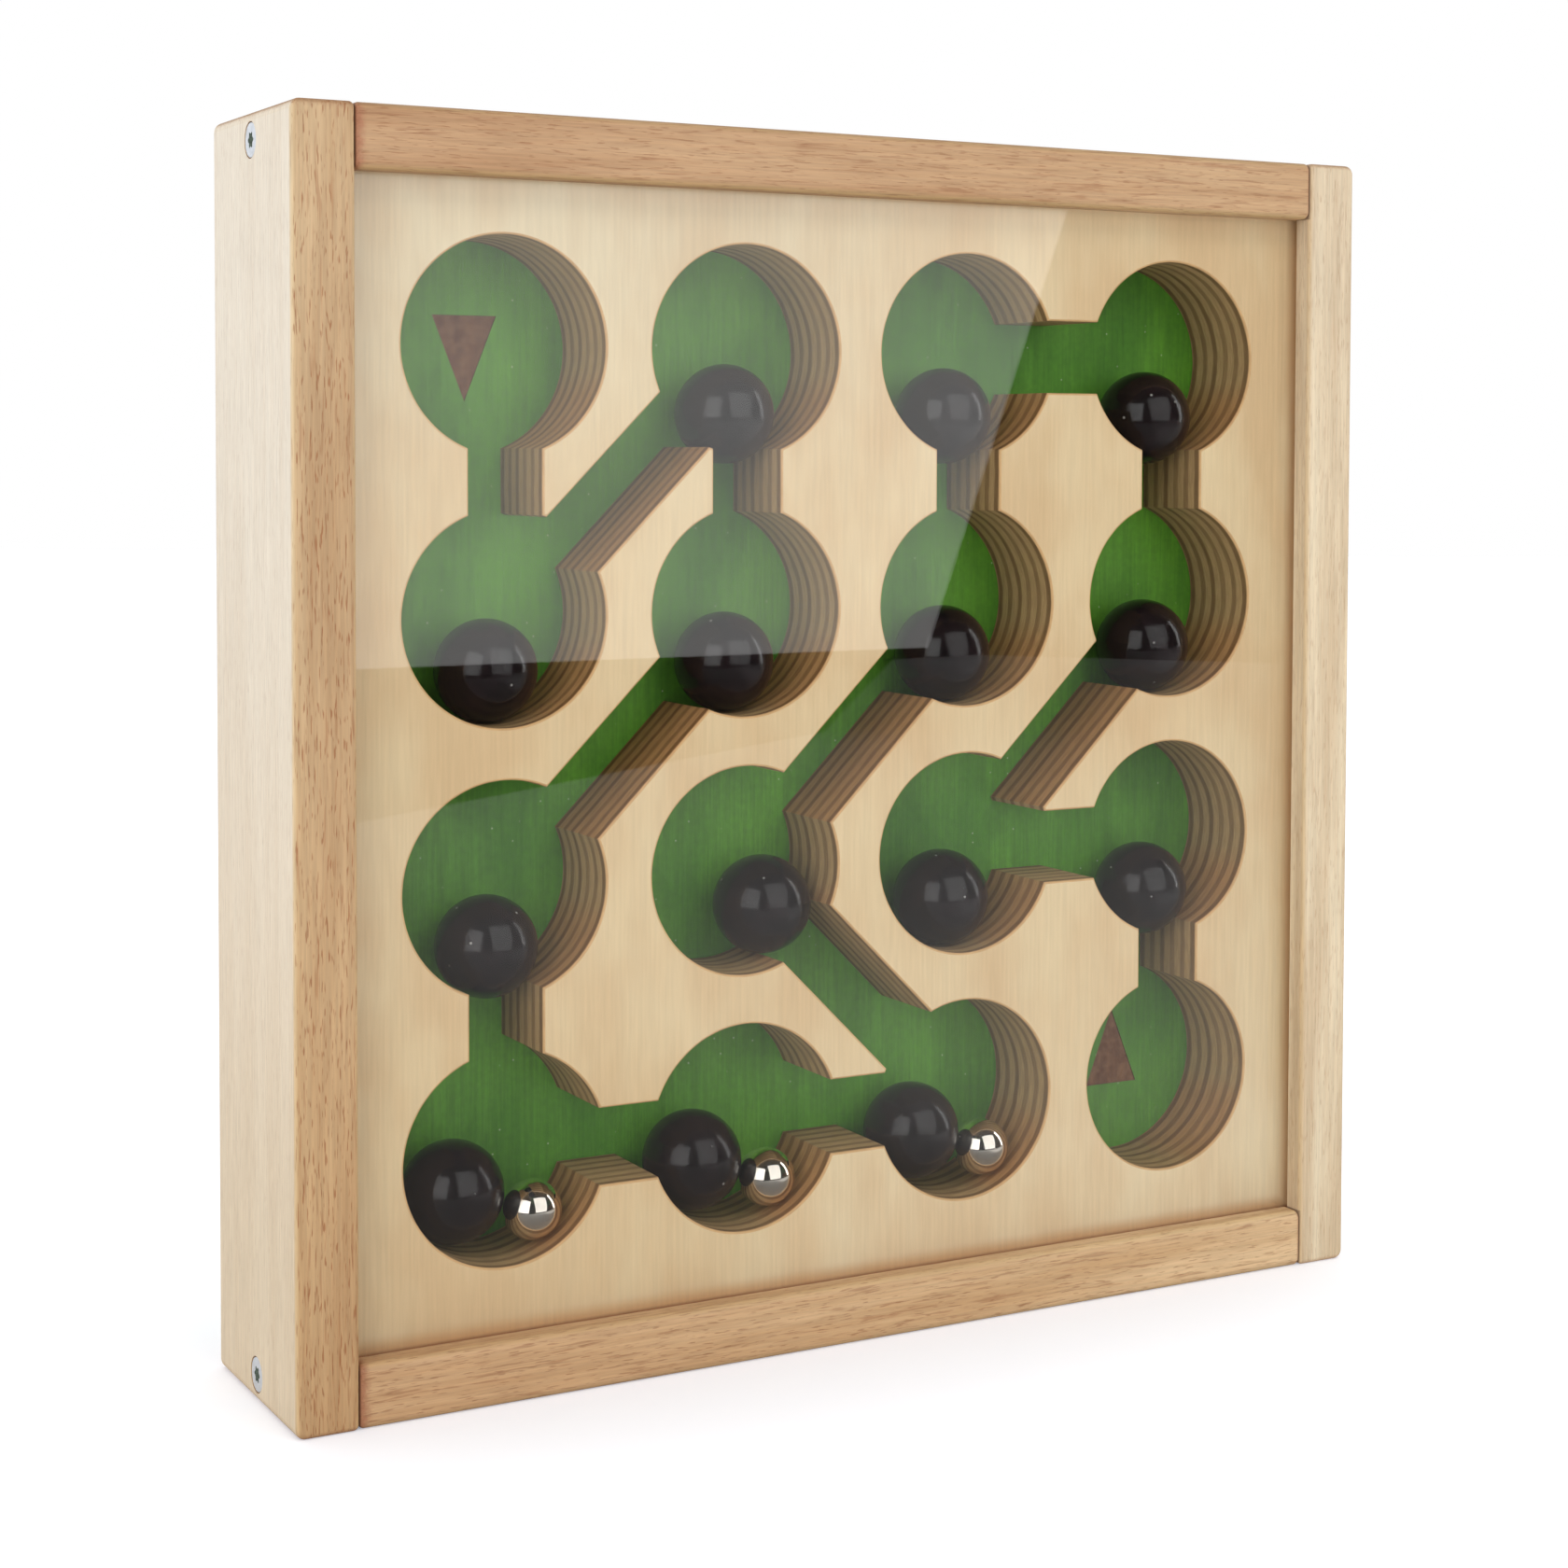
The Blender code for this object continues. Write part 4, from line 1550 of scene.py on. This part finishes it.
@dataclass
class Studio:
    """The table, the softboxes, the room and the camera."""

    table_front: tuple[tuple[float, float], ...] = (
        (-4.0, -0.68), (1.28, -0.68), (1.96, -0.95), (2.06, -0.90), (2.12, -0.50), (4.0, -0.40))
    table_back: float = 5.0
    table_turn: float = math.radians(-33.4)
    table_colour: Colour = (0.80, 0.80, 0.80)
    table_roughness: float = 0.9
    table_specular: float = 0.1
    fibre_tone: Pair = (0.995, 1.0)
    lift_colour: Colour = (0.97, 1.0, 1.12)
    near_lift: float = 0.30
    far_lift: float = 0.42
    lift_reach: float = 0.080
    right_span: Pair = (0.0, 0.22)
    beside_span: Pair = (-0.08, -0.18)
    under_span: Pair = (-0.03, 0.0)
    far_span: Pair = (-0.20, -0.66)
    left_gloss: float = 0.25
    right_gloss: float = 0.70
    far_gloss: float = 0.40
    front_level: float = 0.55
    back_level: float = 1.0
    dark_level: float = 0.03
    lamps: tuple[Softbox, ...] = (
        Softbox("softbox_front", Vector((0.26, -0.97, 0.54)), Vector((0.26, 0.0, -0.02)),
                1.02, 1.10, 1.25),
        Softbox("softbox_left", Vector((-1.05, -0.70, 0.55)), Vector((0, 0, 0.15)),
                1.0, 1.1, 1.9),
        Softbox("softbox_right", Vector((1.15, -0.42, 0.55)), Vector((0, 0, 0.15)),
                0.2, 1.0, 3.6))
    camera_place: tuple[float, float, float] = (-0.33399, -0.59482, 0.21527)
    camera_heading: float = -0.49859
    camera_tilt: float = 0.04013
    camera_roll: float = 0.00249
    camera_lens: float = 63.196
    camera_shift: float = -0.14286
    camera_sensor: float = 36.0
    camera_near: float = 0.01

    def build_table(self) -> None:
        """Lay a pale table, which the camera sees a little lighter than its light makes it.

        The corners of its front edge stand where the window mirrors them.
        """
        shape = bmesh.new()
        corners = len(self.table_front)
        bmesh.ops.create_grid(shape, x_segments=corners - 1, y_segments=1, size=0.5)
        rows = sorted(shape.verts, key=lambda vert: (vert.co.y, vert.co.x))
        for index, vert in enumerate(rows):
            right, front = self.table_front[index % corners]
            vert.co = (right, front if index < corners else self.table_back, 0.0)
        bmesh.ops.rotate(shape, verts=shape.verts,
                         matrix=Matrix.Rotation(self.table_turn, 3, "Z"))
        table = to_object("table", shape)
        table.data.materials.append(self.table_paper())

    def table_paper(self) -> bpy.types.Material:
        """Make the table's paper, which is darker near the toy where a mirror shows it."""
        look = Look("table_paper")
        right, back, _ = look.axes
        # Painted shade: where a mirror shows it, the table is darker near the toy.
        beside = right.span(*self.right_span) * back.span(*self.beside_span)
        near = look.math("MAXIMUM", beside.span(*FULL, self.left_gloss, self.right_gloss),
                         back.span(*self.under_span, self.left_gloss, 1.0))
        mirrored = near + back.span(*self.far_span) * (self.far_gloss - near)
        level = look.ray("Glossy") * (mirrored - 1.0) + 1.0
        fibre = look.noise(look.vector, 900.0).span(*MOST, *self.fibre_tone)
        squares = [look.math("POWER", look.math("MAXIMUM", abs(place_in) - reach, 0.0), 2.0)
                   for place_in, reach in zip((right, back), CAD_BOX[1])]
        away = look.math("SQRT", squares[0] + squares[1])
        lift = away.span(0.0, self.lift_reach, self.near_lift, self.far_lift)
        return look.wear(Base_Color=look.shade(self.table_colour, fibre * level),
                         Roughness=self.table_roughness,
                         Specular_IOR_Level=self.table_specular,
                         Emission_Color=self.lift_colour,
                         Emission_Strength=look.ray("Camera") * lift)

    def build_room(self) -> None:
        """Light the room evenly, with a white backdrop behind and a dark front."""
        world = bpy.data.worlds.new("room")
        bpy.context.scene.world = world
        world.use_nodes = True
        graph = Graph(world.node_tree)
        graph.vector = graph.made("TexCoord", {}, "Generated")
        behind = graph.math("GREATER_THAN", graph.axes[1], 0.0)
        front = graph.ray("Glossy") * (self.dark_level - self.front_level) + self.front_level
        white = graph.math("MAXIMUM", graph.ray("Camera"), behind)
        background = world.node_tree.nodes["Background"].inputs
        graph.feed(background["Strength"], white * self.back_level + front * (1.0 - white))
        graph.feed(background["Color"], (1.0, 1.0, 1.0))

    def build_camera(self) -> None:
        """Set up the camera as the photograph was taken."""
        camera = bpy.data.cameras.new("camera")
        camera.lens = self.camera_lens
        camera.sensor_width = self.camera_sensor
        camera.sensor_fit = "HORIZONTAL"
        camera.shift_y = self.camera_shift
        camera.clip_start = self.camera_near
        thing = bpy.data.objects.new("camera", camera)
        bpy.context.scene.collection.objects.link(thing)
        turn = (Matrix.Rotation(self.camera_heading, 4, "Z")
                @ Matrix.Rotation(math.pi / 2 - self.camera_tilt, 4, "X")
                @ Matrix.Rotation(self.camera_roll, 4, "Z"))
        thing.matrix_world = Matrix.Translation(self.camera_place) @ turn
        bpy.context.scene.camera = thing
        bpy.context.scene.view_settings.view_transform = "Standard"

    def build(self) -> None:
        """Build the whole studio."""
        self.build_table()
        self.build_room()
        for lamp in self.lamps:
            lamp.build()
        self.build_camera()


def main() -> None:
    """Build the puzzle and the studio."""
    logging.basicConfig(level=logging.INFO, format="%(message)s")
    BeechFrame().build()
    SheetStack().build()
    LooseBalls(Maze()).build()
    Studio().build()


if __name__ == "__main__":
    main()
